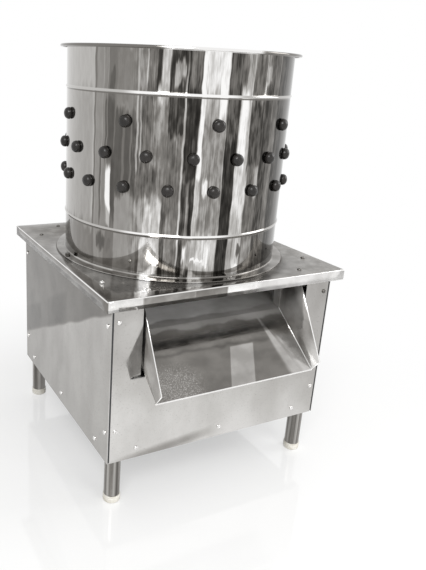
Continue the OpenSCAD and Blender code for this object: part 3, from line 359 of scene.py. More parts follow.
def drum_steel():
    material, shader, place = start_material(
        "mirror_rolled_stainless", Metallic=1.0, Roughness=0.07)
    x, y, z = round_the_axis(place)
    degrees = math_of("MULTIPLY", math_of("ARCTAN2", y, x), 180 / math.pi)
    wander = plus(degrees, swing(place, 60 * MM, 0.35, detail=2.5))
    angle = math_of("WRAP", wander, 50.0, -310.0)
    height = plus(z, swing(place, 9 * MM, 11 * MM, (1, 1, 5), 2.0))

    broad = grain(place, 24 * MM, (1, 1, 20), 2.0)
    shade = between(broad, 0.42, 0.58, 0.28, 0.90)
    calm = between(angle, -205.0, -162.0, 0.72, 0.62)
    shade = mixed(strip(angle, *CALM_LEFT, 2.0), shade, calm)
    for first, last, tone, (low, high) in DRUM_STREAKS + FOOT_MARKS:
        mask = strip(angle, first, last, STREAK_FADE)
        if (low, high) != ALL:
            fade = min(16, 0.2 * (high - low)) * MM
            mask = both(mask, strip(height, low * MM, high * MM, fade))
        shade = mixed(mask, shade, tone)

    busy = strip(angle, *BUSY_FRONT, 4.0)
    for size, tall, detail, elsewhere, in_front in MOTTLES:
        mottle = swing(place, size * MM, 1.0, (1, 1, tall), detail)
        strength = between(busy, 0.0, 1.0, elsewhere, in_front)
        shade = math_of("MULTIPLY_ADD", mottle, strength, shade)
    bead_highlight = between(strip(angle, *BRIGHT_BEADS, 7.0), 0.0, 1.0, 0.74, 0.99)
    # Each bead: a painted shadow line under it, and a painted highlight on it.
    for bead in BEAD_HEIGHTS:
        for low, high, tone in ((-5.5, -2.8, 0.44), (-2.2, 3.0, bead_highlight)):  # mm off its middle
            line = strip(z, bead + low * MM, bead + high * MM, 0.8 * MM)
            shade = mixed(line, shade, tone)
    # The rim: a painted highlight in front, and darker painted reflections round it.
    rim = between(strip(angle, *BRIGHT_RIM, 3.0), 0.0, 1.0, 0.46, 0.95)
    shade = mixed(past(z, DRUM_TOP - 7 * MM, DRUM_TOP - 6 * MM), shade, rim)

    smudge = grain(place, 60 * MM, (1, 1, 2), 4.0)
    dress(shader, steel_colour(shade), grain(place, 120 * MM, (1, 1, 3), 1.0), 0.3 * MM,
          between(smudge, 0.4, 0.7, 0.04, 0.11))
    return material


# %% [markdown]
# The top plate and the drum's foot flange are polished stainless plate. A flat face shows upright
# things as long fields that run away from the viewer; here they are painted reflections. Metal at
# the right is worn to a satin. The folded rim shows other painted reflections along the front, and
# the fold gets a painted highlight.

# %% Polished plate steel
PLATE_FIELDS = [  # painted reflections: mm across the fields, from and to, and shade
    (-219, -125, 0.68), (-125, -66, 0.60), (-66, -44, 0.98), (-44, 30, 0.44), (30, 64, 0.84),
    (64, 208, 0.50),
]
RIM_FIELDS = [  # painted reflections: mm along the front, from and to, and shade
    (-218, -102, 0.58), (-102, -24, 0.51), (-24, 50, 0.98),
]
FIELD_TURN = math.radians(27.8)  # how far the fields are turned from the machine's own front
PLATE_RIGHT = (0.200, 0.216)     # across the fields, where the paler painted reflection begins
PLATE_WORN = (0.150, 0.225)      # and from where to where it gets duller
SATIN = 0.30                     # how much rougher it is there
CORNER_X = (-0.2925, -0.2905)    # X where the left rim turns into the front one


def plate_steel():
    material, shader, place = start_material(
        "polished_stainless_plate", Metallic=1.0, Roughness=0.12)
    x, y, z = round_the_axis(place)
    across = math_of("MULTIPLY", slanted(x, -math.tan(FIELD_TURN), y), math.cos(FIELD_TURN))
    across = plus(across, swing(place, 50 * MM, 5 * MM, detail=2.0))
    shade = between(across, *PLATE_RIGHT, 0.50, 0.60)
    shade = laid_over(shade, across, PLATE_FIELDS, 5 * MM)
    # The rim's shades are painted reflections.
    rim = between(x, *CORNER_X, 0.48, 0.90)
    rim = laid_over(rim, x, RIM_FIELDS, 3 * MM)
    on_rim = short_of(z, PLATE_TOP - 3 * MM, PLATE_TOP - 1.5 * MM)
    shade = mixed(on_rim, shade, rim)
    shade = plus(shade, swing(place, 30 * MM, 0.05, detail=4.0))
    # A painted highlight along the fold.
    fold = strip(z, PLATE_TOP - 2.2 * MM, PLATE_TOP - 0.3 * MM, 0.3 * MM)
    shade = mixed(fold, shade, 0.93)

    smudge = grain(place, 45 * MM, detail=5.0, seed=(3, 1, 0))
    rough = plus(between(smudge, 0.35, 0.7, 0.08, 0.20),
                 between(across, *PLATE_WORN, 0.0, SATIN))
    dress(shader, steel_colour(shade), grain(place, 140 * MM, detail=1.0), 0.4 * MM, rough)
    return material


# %% [markdown]
# The cabinet's sheets are bright stainless with a protective film long gone: still a mirror, but a
# cloudy one. Their shades are painted reflections. The front is pale all over, with a darker spot
# and band low on its left. The flank is darker above a slanting edge, with two soft shapes that
# stand on it, and paler below. The clouds are handling marks, and the sheet is not quite flat.

# %% Cabinet panel steel
FLANK_EDGE = 0.315       # height in metres of the slanting edge of the flank's painted reflections, at the axis
FLANK_FALL = 0.476       # how much it falls with Y
SHAPE_TALL = 74 * MM     # how far the shapes stand up from it
FLANK_SHAPES = ((0.150, 0.285), (-0.030, 0.100))    # from and to along Y
OUTER_FACE = (-0.2737, -0.2733)  # X or Y just behind the outer face of the left or front sheet
SPOT, SPOT_SIZE = (-0.223, -0.2445, 0.385), (0.05, 0.05, 0.07)  # the front's darker painted spot
BAND_Z, BAND_X = (0.121, 0.140), (-0.240, -0.040)               # and its darker painted band


def flank_shade(y, above):
    """The left sheet's painted reflections, from Y and the height that follows its slanting edge.
    """
    below = between(y, -0.15, 0.20, 0.68, 0.60)
    on_top = past(above, FLANK_EDGE - 5 * MM, FLANK_EDGE + 5 * MM)
    shade = mixed(on_top, below, 0.43)
    for first, last in FLANK_SHAPES:
        shape = both(strip(y, first, last, 12 * MM),
                     strip(above, FLANK_EDGE, FLANK_EDGE + SHAPE_TALL, 8 * MM))
        shade = mixed(shape, shade, 0.37)
    return shade


def front_shade(place, x, z):
    """The front sheet's painted reflections: paler downwards, with a spot and a band at the left.
    """
    shade = between(slanted(z, 0.30, x), 0.06, 0.42, 0.83, 0.67)
    shade = mixed(patch(place, SPOT, SPOT_SIZE), shade, 0.74)
    band = both(strip(slanted(z, -0.10, x), *BAND_Z, 8 * MM), strip(x, *BAND_X, 50 * MM))
    return mixed(band, shade, 0.62)


def panel_steel():
    material, shader, place = start_material(
        "bright_stainless_sheet", Metallic=1.0, Roughness=0.12)
    x, y, z = round_the_axis(place)
    above = plus(slanted(z, FLANK_FALL, y), swing(place, 120 * MM, 3 * MM, detail=1.0))
    shade = mixed(short_of(x, *OUTER_FACE), 0.66, flank_shade(y, above))
    shade = mixed(short_of(y, *OUTER_FACE), shade, front_shade(place, x, z))
    shade = plus(shade, swing(place, 90 * MM, 0.035, (1, 1, 1.6), 5.0))
    speck = grain(place, 2.5 * MM, detail=2.0, seed=(5, 5, 1))
    shade = plus(shade, between(speck, 0.30, 0.36, -0.12, 0.0))

    smudge = grain(place, 38 * MM, detail=6.0, seed=(0, 5, 2))
    dress(shader, steel_colour(shade), grain(place, 170 * MM, detail=1.0), 0.35 * MM,
          between(smudge, 0.35, 0.68, 0.07, 0.22))
    return material


# %% [markdown]
# The chute and the tray behind it are bright stainless sheet too, dulled where wet feathers slide.
# Their shades are painted reflections. Bands run across the floor just below the bend into the
# tray. Further down come a pale patch and a pale wedge at the right, where the cheek shows again in
# the floor. The cheeks are paler near the lip and darker above it. The tray is painted paler,
# against the shade in the hollow behind the panel, with a painted shade towards the right, and has
# a dull film that scatters light, which keeps the hollow from going black. Folds and edges get a
# painted highlight: they are found as distances from the chute's own lines.

# %% Chute steel
CHUTE_BANDS = [  # painted reflections: Y in mm, from and to; shade; how much of it is left beside the cheeks
    (-212, -180, 0.66, 1.0), (-237, -212, 0.50, 0.25), (-252, -237, 0.44, 1.0),
    (-258, -252, 0.35, 0.6),
]
TRAY_Y = (-0.205, -0.195)              # where the floor's shade turns into the tray's, which is painted paler
HOLLOW_X = (-0.04, 0.12)               # X over which the tray darkens, a painted shade
CLEAR_OF_CHEEKS = (-0.165, 0.126)      # X between which the bands are whole
PATCH_X, PATCH_Y = (22 * MM, 84 * MM), (-0.340, -0.259)  # the pale patch, a painted reflection, from and to
PATCH_TOP, PATCH_SLANT = 0.2575, 0.55  # distance of its upper end from the axis, and its slant
WEDGE_X, WEDGE_SLANT = 74 * MM, -0.25  # X of the wedge's middle at the axis, and its slant
WEDGE_Y, WEDGE_HALF = (-0.330, -0.200), (19 * MM, 3 * MM)  # its ends, and half its width there
WEDGE_END, BESIDE_END = (-0.206, -0.200), (-0.272, -0.236)  # Y where it and its side fade out
WET_SPOT, WET_SIZE = (-0.143, -0.281, 0.281), (0.09, 0.07, 0.07)  # where drops dried
INSIDE_RIGHT, OUTSIDE_LEFT = (0.1982, 0.1990), (-0.1994, -0.1988)  # X of the cheeks in view
FOLD_X = (0.1972, 0.1980)              # distance of the floor's folds from the middle
PANEL_Y = (-0.2745, -0.2720)           # the cheek's edge has a painted highlight in front of this
FILM_Y = (-0.238, -0.196)              # the dull film begins here
TRAY_METAL = 0.30                      # the share of metal under the film


def from_line(y, z, point, across):
    """How far a place stands off a line in the side plane, along the direction across."""
    offset = -(point.y - AXIS.y) * across.y - point.z * across.z
    part = math_of("MULTIPLY_ADD", y, across.y, offset)
    return math_of("MULTIPLY_ADD", z, across.z, part)


def chute_floor_shade(place, x, y):
    """The floor and the tray: painted reflections in bands, a pale patch and a wedge, the tray
    painted paler, and the dried drops.
    """
    # The tray is painted paler against the shade in the hollow, with a painted shade towards the
    # right.
    hollow = between(x, *HOLLOW_X, 0.90, 0.76)
    shade = between(y, *TRAY_Y, 0.45, hollow)
    wavy_y = plus(y, swing(place, 55 * MM, 4 * MM, detail=2.0))
    middle = strip(x, *CLEAR_OF_CHEEKS, 22 * MM)
    for low, high, tone, left_over in CHUTE_BANDS:
        band = both(strip(wavy_y, low * MM, high * MM, 4 * MM),
                    between(middle, 0.0, 1.0, left_over, 1.0))
        shade = mixed(band, shade, tone)
    skew = slanted(x, -PATCH_SLANT, plus(y, PATCH_TOP))
    pale = both(strip(skew, *PATCH_X, 2 * MM), strip(y, *PATCH_Y, 2 * MM))
    shade = mixed(pale, shade, 0.64)

    past_wedge = math_of("SUBTRACT", slanted(x, -WEDGE_SLANT, y), WEDGE_X)
    beside = both(past(past_wedge, 0.0, 24 * MM), short_of(y, *BESIDE_END))
    shade = mixed(beside, shade, 0.74)
    half = between(y, *WEDGE_Y, *WEDGE_HALF)
    share = math_of("DIVIDE", math_of("ABSOLUTE", past_wedge), half)
    wedge = both(short_of(y, *WEDGE_END), short_of(share, 0.4, 1.2))
    shade = mixed(wedge, shade, 0.67)
    speckle = between(grain(place, 2 * MM), 0.45, 0.72, 0.04, 0.26)
    return plus(shade, both(speckle, patch(place, WET_SPOT, WET_SIZE)))


def chute_steel():
    material, shader, place = start_material(
        "dulled_stainless_chute", Metallic=1.0, Roughness=0.16)
    x, y, z = round_the_axis(place)
    over_floor = from_line(y, z, LIP, square_up)
    from_lip = from_line(y, z, LIP, uphill)
    inside_right = past(x, *INSIDE_RIGHT)
    outside_left = short_of(x, *OUTSIDE_LEFT)
    # The cheeks' painted reflections: pale near the lip, darker above it, and the left cheek's
    # outer face darker upwards.
    cheek = between(from_lip, 5 * MM, 75 * MM, 0.85, 0.47)
    cheek = mixed(past(from_lip, 60 * MM, 150 * MM), cheek, 0.62)
    cheek = mixed(outside_left, cheek, between(z, 0.28, 0.42, 0.66, 0.48))
    on_cheek = both(either(inside_right, outside_left), past(over_floor, 1.6 * MM, 2.6 * MM))
    shade = mixed(on_cheek, chute_floor_shade(place, x, y), cheek)
    shade = plus(shade, swing(place, 40 * MM, 0.05, (1.6, 1, 1), 5.0))

    # A painted highlight along the cheeks' front edges, the lip's nose and the floor's folds.
    steep = (CHEEK_CROSS - CHEEK_TIP).normalized()
    off_edge = from_line(y, z, CHEEK_TIP, Vector((0, -steep.z, steep.y)))
    edge = both(strip(off_edge, -2 * MM, 1.3 * MM, 0.3 * MM), short_of(y, *PANEL_Y))
    nose = short_of(from_lip, 1.6 * MM, 2.4 * MM)
    fold = both(strip(over_floor, -1 * MM, 2.2 * MM, 0.3 * MM),
                past(math_of("ABSOLUTE", x), *FOLD_X))
    shade = mixed(either(either(edge, nose), fold), shade, 0.97)
    dull_film_and_dark_reflection = either(past(y, *FILM_Y), both(inside_right, past(from_lip, 70 * MM, 120 * MM)))
    wire(mixed(dull_film_and_dark_reflection, 0.92, TRAY_METAL), shader, "Metallic")
    smudge = grain(place, 22 * MM, detail=6.0, seed=(2, 0, 7))
    dress(shader, steel_colour(shade), grain(place, 90 * MM, detail=1.5), 0.5 * MM,
          between(smudge, 0.35, 0.68, 0.10, 0.26))
    return material


# %% [markdown]
# Plainer metals. Tube is polished along its length, turned and ground steel shows fine lines,
# and cast iron is grainy from the sand mould. Each is one noise for the tone, one for the
# roughness and a shallow bump, so one function makes them all.

# %% Plain metals
def plain_metal(name, low, high, rough, grain_size, stretch=(1, 1, 1), depth=0.02 * MM):
    material, shader, place = start_material(name, Metallic=1.0, Roughness=rough)
    shade = between(grain(place, grain_size, stretch, 4.0), 0.3, 0.7, low, high)
    dull = grain(place, 14 * MM, detail=5.0, seed=(4, 4, 4))
    dress(shader, steel_colour(shade), grain(place, grain_size * 0.5, stretch), depth,
          between(dull, 0.35, 0.7, rough * 0.8, rough * 1.5))
    return material


# %% [markdown]
# The screws are pressed stainless. Their heads carry painted reflections: those at the front are
# bright, while those on top at the back and the right are dark.

# %% Screw steel
BRIGHT_REFLECTION_X, BRIGHT_REFLECTION_Y = (-0.02, 0.02), (-0.15, -0.10)  # the corner of screws with a painted bright reflection ends here
DARK_REFLECTION_Z = (0.416, 0.420)                           # and the painted dark reflection begins at this height


def screw_steel():
    material, shader, place = start_material(
        "pressed_stainless_screw", Metallic=1.0, Roughness=0.22)
    x, y, z = round_the_axis(place)
    # Screws low down and in the front left corner get a painted bright reflection, the rest a
    # painted dark one.
    bright_reflection = both(short_of(x, *BRIGHT_REFLECTION_X), short_of(y, *BRIGHT_REFLECTION_Y))
    dull_film_and_dark_reflection = both(past(z, *DARK_REFLECTION_Z), math_of("SUBTRACT", 1.0, bright_reflection))
    shade = mixed(dull_film_and_dark_reflection, 0.90, 0.44)
    shade = plus(shade, swing(place, 3 * MM, 0.08))
    dress(shader, steel_colour(shade), grain(place, 1 * MM), 0.02 * MM)
    return material


# %% [markdown]
# Paints, plastics and rubber are not metals: their colour is in the material, and a clear sheen
# lies on top of it. They differ in colour, in how rough the mould or the brush left them, and in
# the grain of their surface.

# %% Paint, plastic and rubber
def moulded(name, base, spot, rough, grain_size, depth, ior=1.5):
    material, shader, place = start_material(name, Metallic=0.0, IOR=ior)
    tone = grain(place, grain_size * 12, detail=4.0)
    blend = add(place, "ShaderNodeMix", {"data_type": "RGBA"},
                {0: past(tone, 0.35, 0.75), 6: paint(base), 7: paint(spot)})
    dull = grain(place, grain_size * 5, detail=5.0, seed=(1, 2, 3))
    dress(shader, blend.outputs[2], grain(place, grain_size, detail=2.0), depth,
          between(dull, 0.35, 0.7, rough * 0.8, rough * 1.25))
    return material


# %% [markdown]
# One finish for each material slot of the record. Plain metals are given by their darkest and
# brightest shade, roughness and grain; the others by colour, roughness, grain and its depth.

# %% Finishes by slot
FINISH = {
    "drum_steel": drum_steel(),
    "polished_plate": plate_steel(),
    "panel_steel": panel_steel(),
    "chute_steel": chute_steel(),
    "leg_steel": plain_metal("polished_stainless_tube", 0.34, 0.68, 0.14, 7 * MM, (1, 1, 60)),
    "bright_steel": plain_metal("ground_steel", 0.55, 0.80, 0.22, 2 * MM, (1, 1, 0.3)),
    "fastener_steel": screw_steel(),
    "disc_steel": plain_metal("brushed_stainless_plate", 0.72, 0.92, 0.26, 3 * MM, (10, 1, 1)),
    "machine_iron": plain_metal("machined_cast_iron", 0.26, 0.46, 0.42, 3 * MM, depth=0.15 * MM),
    "frame_paint": moulded("dark_paint_on_angle_iron", "2b2c2e", "38383a", 0.42, 2 * MM,
                           0.05 * MM),
    "motor_paint": moulded("grey_blue_motor_enamel", "46505a", "3c454e", 0.35, 2 * MM, 0.04 * MM),
    "finger_rubber": moulded("moulded_natural_rubber", "1c1a18", "282523", 0.30, 1 * MM,
                             0.02 * MM, 1.42),
    "seal_rubber": moulded("matt_black_rubber", "1d1c1b", "2a2827", 0.62, 1 * MM, 0.05 * MM),
    "foot_plastic": moulded("pale_moulded_polypropylene", "dedbd3", "c9c4b8", 0.40, 1 * MM,
                            0.03 * MM),
    "box_plastic": moulded("grained_dark_abs", "3a3b3d", "434446", 0.50, 0.7 * MM, 0.06 * MM),
    "fan_plastic": moulded("pale_moulded_nylon", "cfccc3", "bfbbb0", 0.45, 1 * MM, 0.02 * MM),
    "start_green": moulded("green_button_plastic", "1f7a3c", "1b6d35", 0.26, 1 * MM, 0.01 * MM),
    "stop_red": moulded("red_button_plastic", "b3201c", "a31c19", 0.26, 1 * MM, 0.01 * MM),
}
print("finishes:", len(FINISH))

# %% [markdown]
# Every loaded piece gets the finish of its own slot. Most of the inner machine keeps this shape
# and this finish.

# %% Finish the loaded pieces
SLOT = {part["node"]: part["material_slot"] for part in frame["record"]["subparts"]}
for name, node in nodes.items():
    node.data.materials.clear()
    node.data.materials.append(FINISH[SLOT[name]])
BODY = {name: body for body, members in frame["record"]["behaviour"]["bodies"].items()
        for name in members}


# %% [markdown]
# Two helpers for new pieces. The first turns a bmesh into an object: round faces are smooth and
# real corners stay sharp. The second puts a piece to work: it moves with the same body as the nodes
# it stands for, and they are hidden.

# %% Piece helpers
def make_piece(build, name, finish, sharp=32):
    """Turn a bmesh into an object, smooth but for edges sharper than an angle in degrees."""
    bmesh.ops.recalc_face_normals(build, faces=build.faces)
    mesh = bpy.data.meshes.new(name)
    build.to_mesh(mesh)
    build.free()
    mesh.polygons.foreach_set("use_smooth", [True] * len(mesh.polygons))
    mesh.set_sharp_from_angle(angle=math.radians(sharp))
    mesh.materials.append(finish)
    piece = bpy.data.objects.new(name, mesh)
    bpy.context.scene.collection.objects.link(piece)
    return piece


def skin(build, low, high, closed=False):
    """Faces between two rows of as many vertices; closed joins the rows' ends too."""
    for i in range(len(low) if closed else len(low) - 1):
        j = (i + 1) % len(low)
        build.faces.new([low[i], low[j], high[j], high[i]])


def install(piece, *replaced):
    """Let a finished piece stand for CAD nodes: same body, nodes hidden."""
    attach(piece, BODY[replaced[0]])
    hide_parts(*replaced)
    count = sum(len(p.vertices) - 2 for p in piece.data.polygons)
    print(piece.name, "for", ", ".join(replaced), "-", count, "triangles")


# %% [markdown]
# Turned and rolled shapes are one outline spun round an axis. Blender has a Spin tool, but
# writing the rings directly keeps the seam closed and the poles as single points.

# %% Spun shapes
def spin(build, outline, steps, centre=(0, 0, 0), closed=False, place=None):
    """Spin (radius, height) points round Z; closed joins the last ring to the first."""
    rings = []
    for radius, height in outline:
        count = steps if radius > 1e-6 else 1
        rings.append([build.verts.new((centre[0] + radius * math.cos(i * math.tau / count),
                                       centre[1] + radius * math.sin(i * math.tau / count),
                                       centre[2] + height)) for i in range(count)])
    pairs = list(zip(rings, rings[1:]))
    if closed:
        pairs.append((rings[-1], rings[0]))
    for low, high in pairs:
        for i in range(steps):
            corners = [low[i % len(low)], low[(i + 1) % len(low)],
                       high[(i + 1) % len(high)], high[i % len(high)]]
            build.faces.new(list(dict.fromkeys(corners)))
    if place:
        bmesh.ops.transform(build, matrix=place, verts=sum(rings, []))


def turned(name, finish, sharp, outline, steps, **how):
    """A piece that is one spun outline."""
    build = bmesh.new()
    spin(build, outline, steps, **how)
    return make_piece(build, name, FINISH[finish], sharp)


def arc(centre, radius, start, end, steps):
    """Points of an arc in the outline's own plane, between two angles in degrees."""
    angles = [math.radians(start + (end - start) * i / steps) for i in range(steps + 1)]
    return [(centre[0] + radius * math.cos(a), centre[1] + radius * math.sin(a)) for a in angles]


# %% [markdown]
# The drum is one strip of sheet: a straight wall with two beads rolled outwards, and a rim that
# is turned out and curled into a bead, so that no raw edge meets a hand. The outline runs up the
# outer face, round the curl and down the bore. The fingers' heads and collars hide their holes.

# %% Drum
BEAD_OUT, BEAD_TALL = 2.2 * MM, 9 * MM
CURL_R = 3 * MM
TURN_R = 5 * MM
DRUM_STEPS = 240


def wall_points(radius):
    """The wall from the foot to the turn of the rim, with a smooth swell at each bead."""
    points = [(radius, PLATE_TOP)]
    for height in BEAD_HEIGHTS:
        for i in range(13):
            swell = BEAD_OUT * (1 - math.cos(i * math.tau / 12)) / 2
            points.append((radius + swell, height + BEAD_TALL * (i / 12 - 0.5)))
    return points


def build_drum():
    bore, turn_r = DRUM_R - SHEET, TURN_R - SHEET
    curl_centre = (DRUM_R + RIM_REACH - CURL_R, DRUM_TOP - CURL_R)
    outline = wall_points(DRUM_R)
    outline += arc((DRUM_R + turn_r, DRUM_TOP - TURN_R), turn_r, 180, 90, 5)
    outline += [(curl_centre[0] - CURL_R * 0.6, DRUM_TOP - SHEET)]
    outline += arc(curl_centre, CURL_R, 215, 450, 14)
    outline += arc((bore + TURN_R, DRUM_TOP - TURN_R), TURN_R, 90, 180, 6)
    outline += reversed(wall_points(bore))
    return turned("drum_wall", "drum_steel", 40, outline, DRUM_STEPS, centre=AXIS, closed=True)


install(build_drum(), "drum_shell")

# %% [markdown]
# The flange that carries the drum is a flat ring, welded to the wall with a small fillet and
# ground smooth.

# %% Drum flange
FLANGE_T = 2 * MM
FLANGE_EDGE_R = 0.8 * MM
WELD_R = 3 * MM


def build_flange():
    flange_r = (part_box("drum_flange")[1].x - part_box("drum_flange")[0].x) / 2
    inside, under, top = DRUM_R + 0.1 * MM, PLATE_TOP + 0.05 * MM, PLATE_TOP + FLANGE_T
    outline = [(inside, under), (flange_r, under)]
    outline += arc((flange_r - FLANGE_EDGE_R, top - FLANGE_EDGE_R), FLANGE_EDGE_R, 0, 90, 3)
    outline += arc((inside + WELD_R, top + WELD_R), WELD_R, 270, 180, 5)
    return turned("drum_foot_flange", "polished_plate", 40, outline, DRUM_STEPS, centre=AXIS,
                  closed=True)


install(build_flange(), "drum_flange")

# %% [markdown]
# The top plate is cut round the drum and folded down on four sides. A fold has a small radius,
# and that radius is what catches the light as a bright line. The folded sides meet at the corners
# in open mitres, seen as a thin dark line.
# Each side is a strip of points across the fold, and a Solidify modifier gives it the sheet.

# %% Top plate
FOLD_R = 2.4 * MM
MITRE_GAP = 0.35 * MM
PLATE_SHEET = 1.5 * MM
SPOKES = 36  # on each side of the hole


def quarter(turns):
    """A turn round Z by a number of quarters."""
    return Matrix.Rotation(turns * math.pi / 2, 3, "Z")


def build_top_plate():
    """Spokes from the hole out to the fold and down the rim."""
    hole, reach = DRUM_R - SHEET, plate_high.x
    fold = [(reach - FOLD_R + x, PLATE_TOP - FOLD_R + z)
            for x, z in arc((0, 0), FOLD_R, 90, 0, 5)]
    fold.append((reach, plate_low.z))
    build = bmesh.new()
    for side in range(4):
        spokes = []
        for step in range(SPOKES + 1):
            angle = math.radians(-45 + step * 90 / SPOKES)
            spoke = [Vector((hole * math.sin(angle), -hole * math.cos(angle), PLATE_TOP))]
            for half, height in fold:
                gap = MITRE_GAP if height < PLATE_TOP - FOLD_R / 2 else 0
                spoke.append(Vector((math.tan(angle) * (half - gap), -half, height)))
            spokes.append([build.verts.new(AXIS + quarter(side) @ point) for point in spoke])
        for left, right in zip(spokes, spokes[1:]):
            for row in range(len(fold)):
                build.faces.new([left[row], right[row], right[row + 1], left[row + 1]])
    bmesh.ops.remove_doubles(build, verts=build.verts, dist=0.02 * MM)
    return thicken(make_piece(build, "folded_top_plate", FINISH["polished_plate"]), PLATE_SHEET)


def thicken(piece, sheet):
    """Give a surface the thickness of its sheet, inwards, and settle it as plain mesh."""
    solid = piece.modifiers.new("sheet", "SOLIDIFY")
    solid.thickness = sheet
    solid.offset = -1
    solid.use_even_offset = True
    return settle(piece)


def settle(piece):
    """Replace an object's mesh by what its modifiers make of it, and drop the modifiers."""
    depsgraph = bpy.context.evaluated_depsgraph_get()
    mesh = bpy.data.meshes.new_from_object(piece.evaluated_get(depsgraph))
    mesh.name = piece.name
    piece.modifiers.clear()
    piece.data = mesh
    return piece


install(build_top_plate(), "top_plate")

# %% [markdown]
# The chute is a tray of sheet: a floor that runs down to the lip, and two upright cheeks. The
# floor turns up into the cheeks with a small bend. The lip is folded under into a hem with a
# round nose, and two ears carry the tray under the top plate.

# %% Chute
TRAY_END = 10 * MM                     # how far the cheeks run past the knee
EAR_HALF, EAR_DROP = 6 * MM, 1.6 * MM  # half its width, and its top's depth under the plate's
HEM_LONG = 5 * MM


def build_tray():
    """The floor with its bends, its flat tail and the two cheeks, as one folded sheet."""
    rise = (CHEEK_CROSS.z - CHEEK_TIP.z) / (CHEEK_CROSS.y - CHEEK_TIP.y)
    front_top = Vector((0, CHEEK_CROSS.y + (CHUTE_TOP - CHEEK_CROSS.z) / rise, CHUTE_TOP))
    rear_top = Vector((0, KNEE.y + TRAY_END, CHUTE_TOP))
    at_end = KNEE + along_tray * (TRAY_END / math.cos(TRAY_SLOPE))
    stations = [(LIP + uphill * HEM_R, square_up), (KNEE, (square_up + tray_up).normalized()),
                (at_end, tray_up)]
    bends = [math.radians(a) for a in range(90, -1, -18)]
    build = bmesh.new()
    rows = []
    for point, up in stations:
        left = [point + Vector((-CHUTE_HALF + BEND_R * (1 - math.sin(a)), 0, 0))
                + up * BEND_R * (1 - math.cos(a)) for a in bends]
        row = left + [Vector((-p.x, p.y, p.z)) for p in reversed(left)]
        rows.append([build.verts.new(p) for p in row])
    for low, high in zip(rows, rows[1:]):
        skin(build, low, high)
    tail = [build.verts.new(TAIL + Vector((x, 0, 0))) for x in
            (-CHUTE_HALF + BEND_R, CHUTE_HALF - BEND_R)]
    floor_left, floor_right = len(bends) - 1, len(bends)
    build.faces.new([rows[-1][floor_left], rows[-1][floor_right], tail[1], tail[0]])
    for index, x in ((0, -CHUTE_HALF), (-1, CHUTE_HALF)):
        corners = [build.verts.new((x, p.y, p.z)) for p in (CHEEK_TIP, front_top, rear_top)]
        build.faces.new([rows[0][index], *corners, rows[2][index], rows[1][index]])
    bmesh.ops.recalc_face_normals(build, faces=build.faces)
    tray = thicken(make_piece(build, "tray", FINISH["chute_steel"]), SHEET)
    return tray, front_top, rear_top


def bar(name, sections, half, sharp=32):
    """Closed bars across the machine: for each, its middle's X and its section's points."""
    build = bmesh.new()
    for middle, section in sections:
        ends = [[build.verts.new((middle + x, p.y, p.z)) for p in section] for x in (-half, half)]
        skin(build, *ends, closed=True)
        for end in ends:
            build.faces.new(end)
    return make_piece(build, name, FINISH["chute_steel"], sharp)


def build_chute():
    tray, front_top, rear_top = build_tray()
    nose = [(HEM_R + x, z - HEM_R) for x, z in arc((0, 0), HEM_R, 90, 270, 6)]
    nose += [(HEM_LONG, -2 * HEM_R), (HEM_LONG, -SHEET)]
    hem = bar("hem", [(0, [LIP + uphill * a + square_up * b for a, b in nose])], CHUTE_HALF, 40)
    front, ear_top = front_top.y + 1 * MM, plate_high.z - EAR_DROP
    ear = [Vector((0, y, z)) for y, z in ((front, CHUTE_TOP), (rear_top.y, CHUTE_TOP),
                                          (rear_top.y, ear_top), (front, ear_top))]
    out = CHUTE_HALF + EAR_HALF
    return joined("folded_chute", [tray, hem, bar("ears", [(-out, ear), (out, ear)], EAR_HALF)])


def joined(name, pieces):
    """Join finished pieces into one mesh, and drop the parts."""
    build = bmesh.new()
    for piece in pieces:
        build.from_mesh(piece.data)
    finish = pieces[0].data.materials[0]
    mesh = bpy.data.meshes.new(name)
    build.to_mesh(mesh)
    build.free()
    mesh.materials.append(finish)
    for piece in pieces:
        bpy.data.objects.remove(piece)
    whole = bpy.data.objects.new(name, mesh)
    bpy.context.scene.collection.objects.link(whole)
    return whole


install(build_chute(), "discharge_chute")

# %% [markdown]
# A plucking finger is moulded rubber. A domed head stays outside, a neck fills the hole, a collar
# snaps in behind the sheet, and a tapered stem with raised rings does the plucking.
# Forty-two of them stand in three rows round the drum, and twenty-four in three rings on the
# plate, so one finger is spun once and Geometry Nodes set copies along a circle.

# %% One finger
HEAD_R, NECK_R, COLLAR_R = 12.5 * MM, 8.1 * MM, 10.3 * MM
ROOT_R, TIP_R = 9 * MM, 5 * MM
FINGER_RINGS, RING_TALL = 6, 0.55 * MM


def build_finger(name, head_tall, sheet, reach):
    corner = min(head_tall, HEAD_R) * 0.76
    under = -sheet - 0.45 * MM
    root, tip = under - 8 * MM, -sheet - reach
    outline = [(0, head_tall), (HEAD_R * 0.2, head_tall - 0.25 * MM)]
    outline += arc((HEAD_R - corner, head_tall - 0.8 * MM - corner), corner, 74, 0, 8)
    outline += [(HEAD_R, 1.6 * MM), (HEAD_R - 1 * MM, 0.1 * MM), (NECK_R, 0.1 * MM),
                (NECK_R, under), (COLLAR_R, under), (COLLAR_R, under - 2.6 * MM),
                (ROOT_R + 0.6 * MM, under - 4.6 * MM), (ROOT_R, root)]
    for i in range(FINGER_RINGS * 4):
        along = (i + 1) / (FINGER_RINGS * 4)
        ridge = RING_TALL * (1 if i % 4 in (1, 2) else -0.6)
        outline.append((ROOT_R + (TIP_R - ROOT_R) * along + ridge - 0.3 * MM,
                        root + (tip + 5 * MM - root) * along))
    outline += [(TIP_R, tip + 3.2 * MM), (TIP_R * 0.72, tip + 0.9 * MM), (0, tip)]
    return turned(name, "finger_rubber", 48, outline, 24)


# %% [markdown]
# The tree that sets fingers along a circle. The upper row leaves places empty, so the step
# between two fingers isn't the full circle shared out: a line of points is laid down first, and
# each point is set at its own angle. The heads point outwards or down.

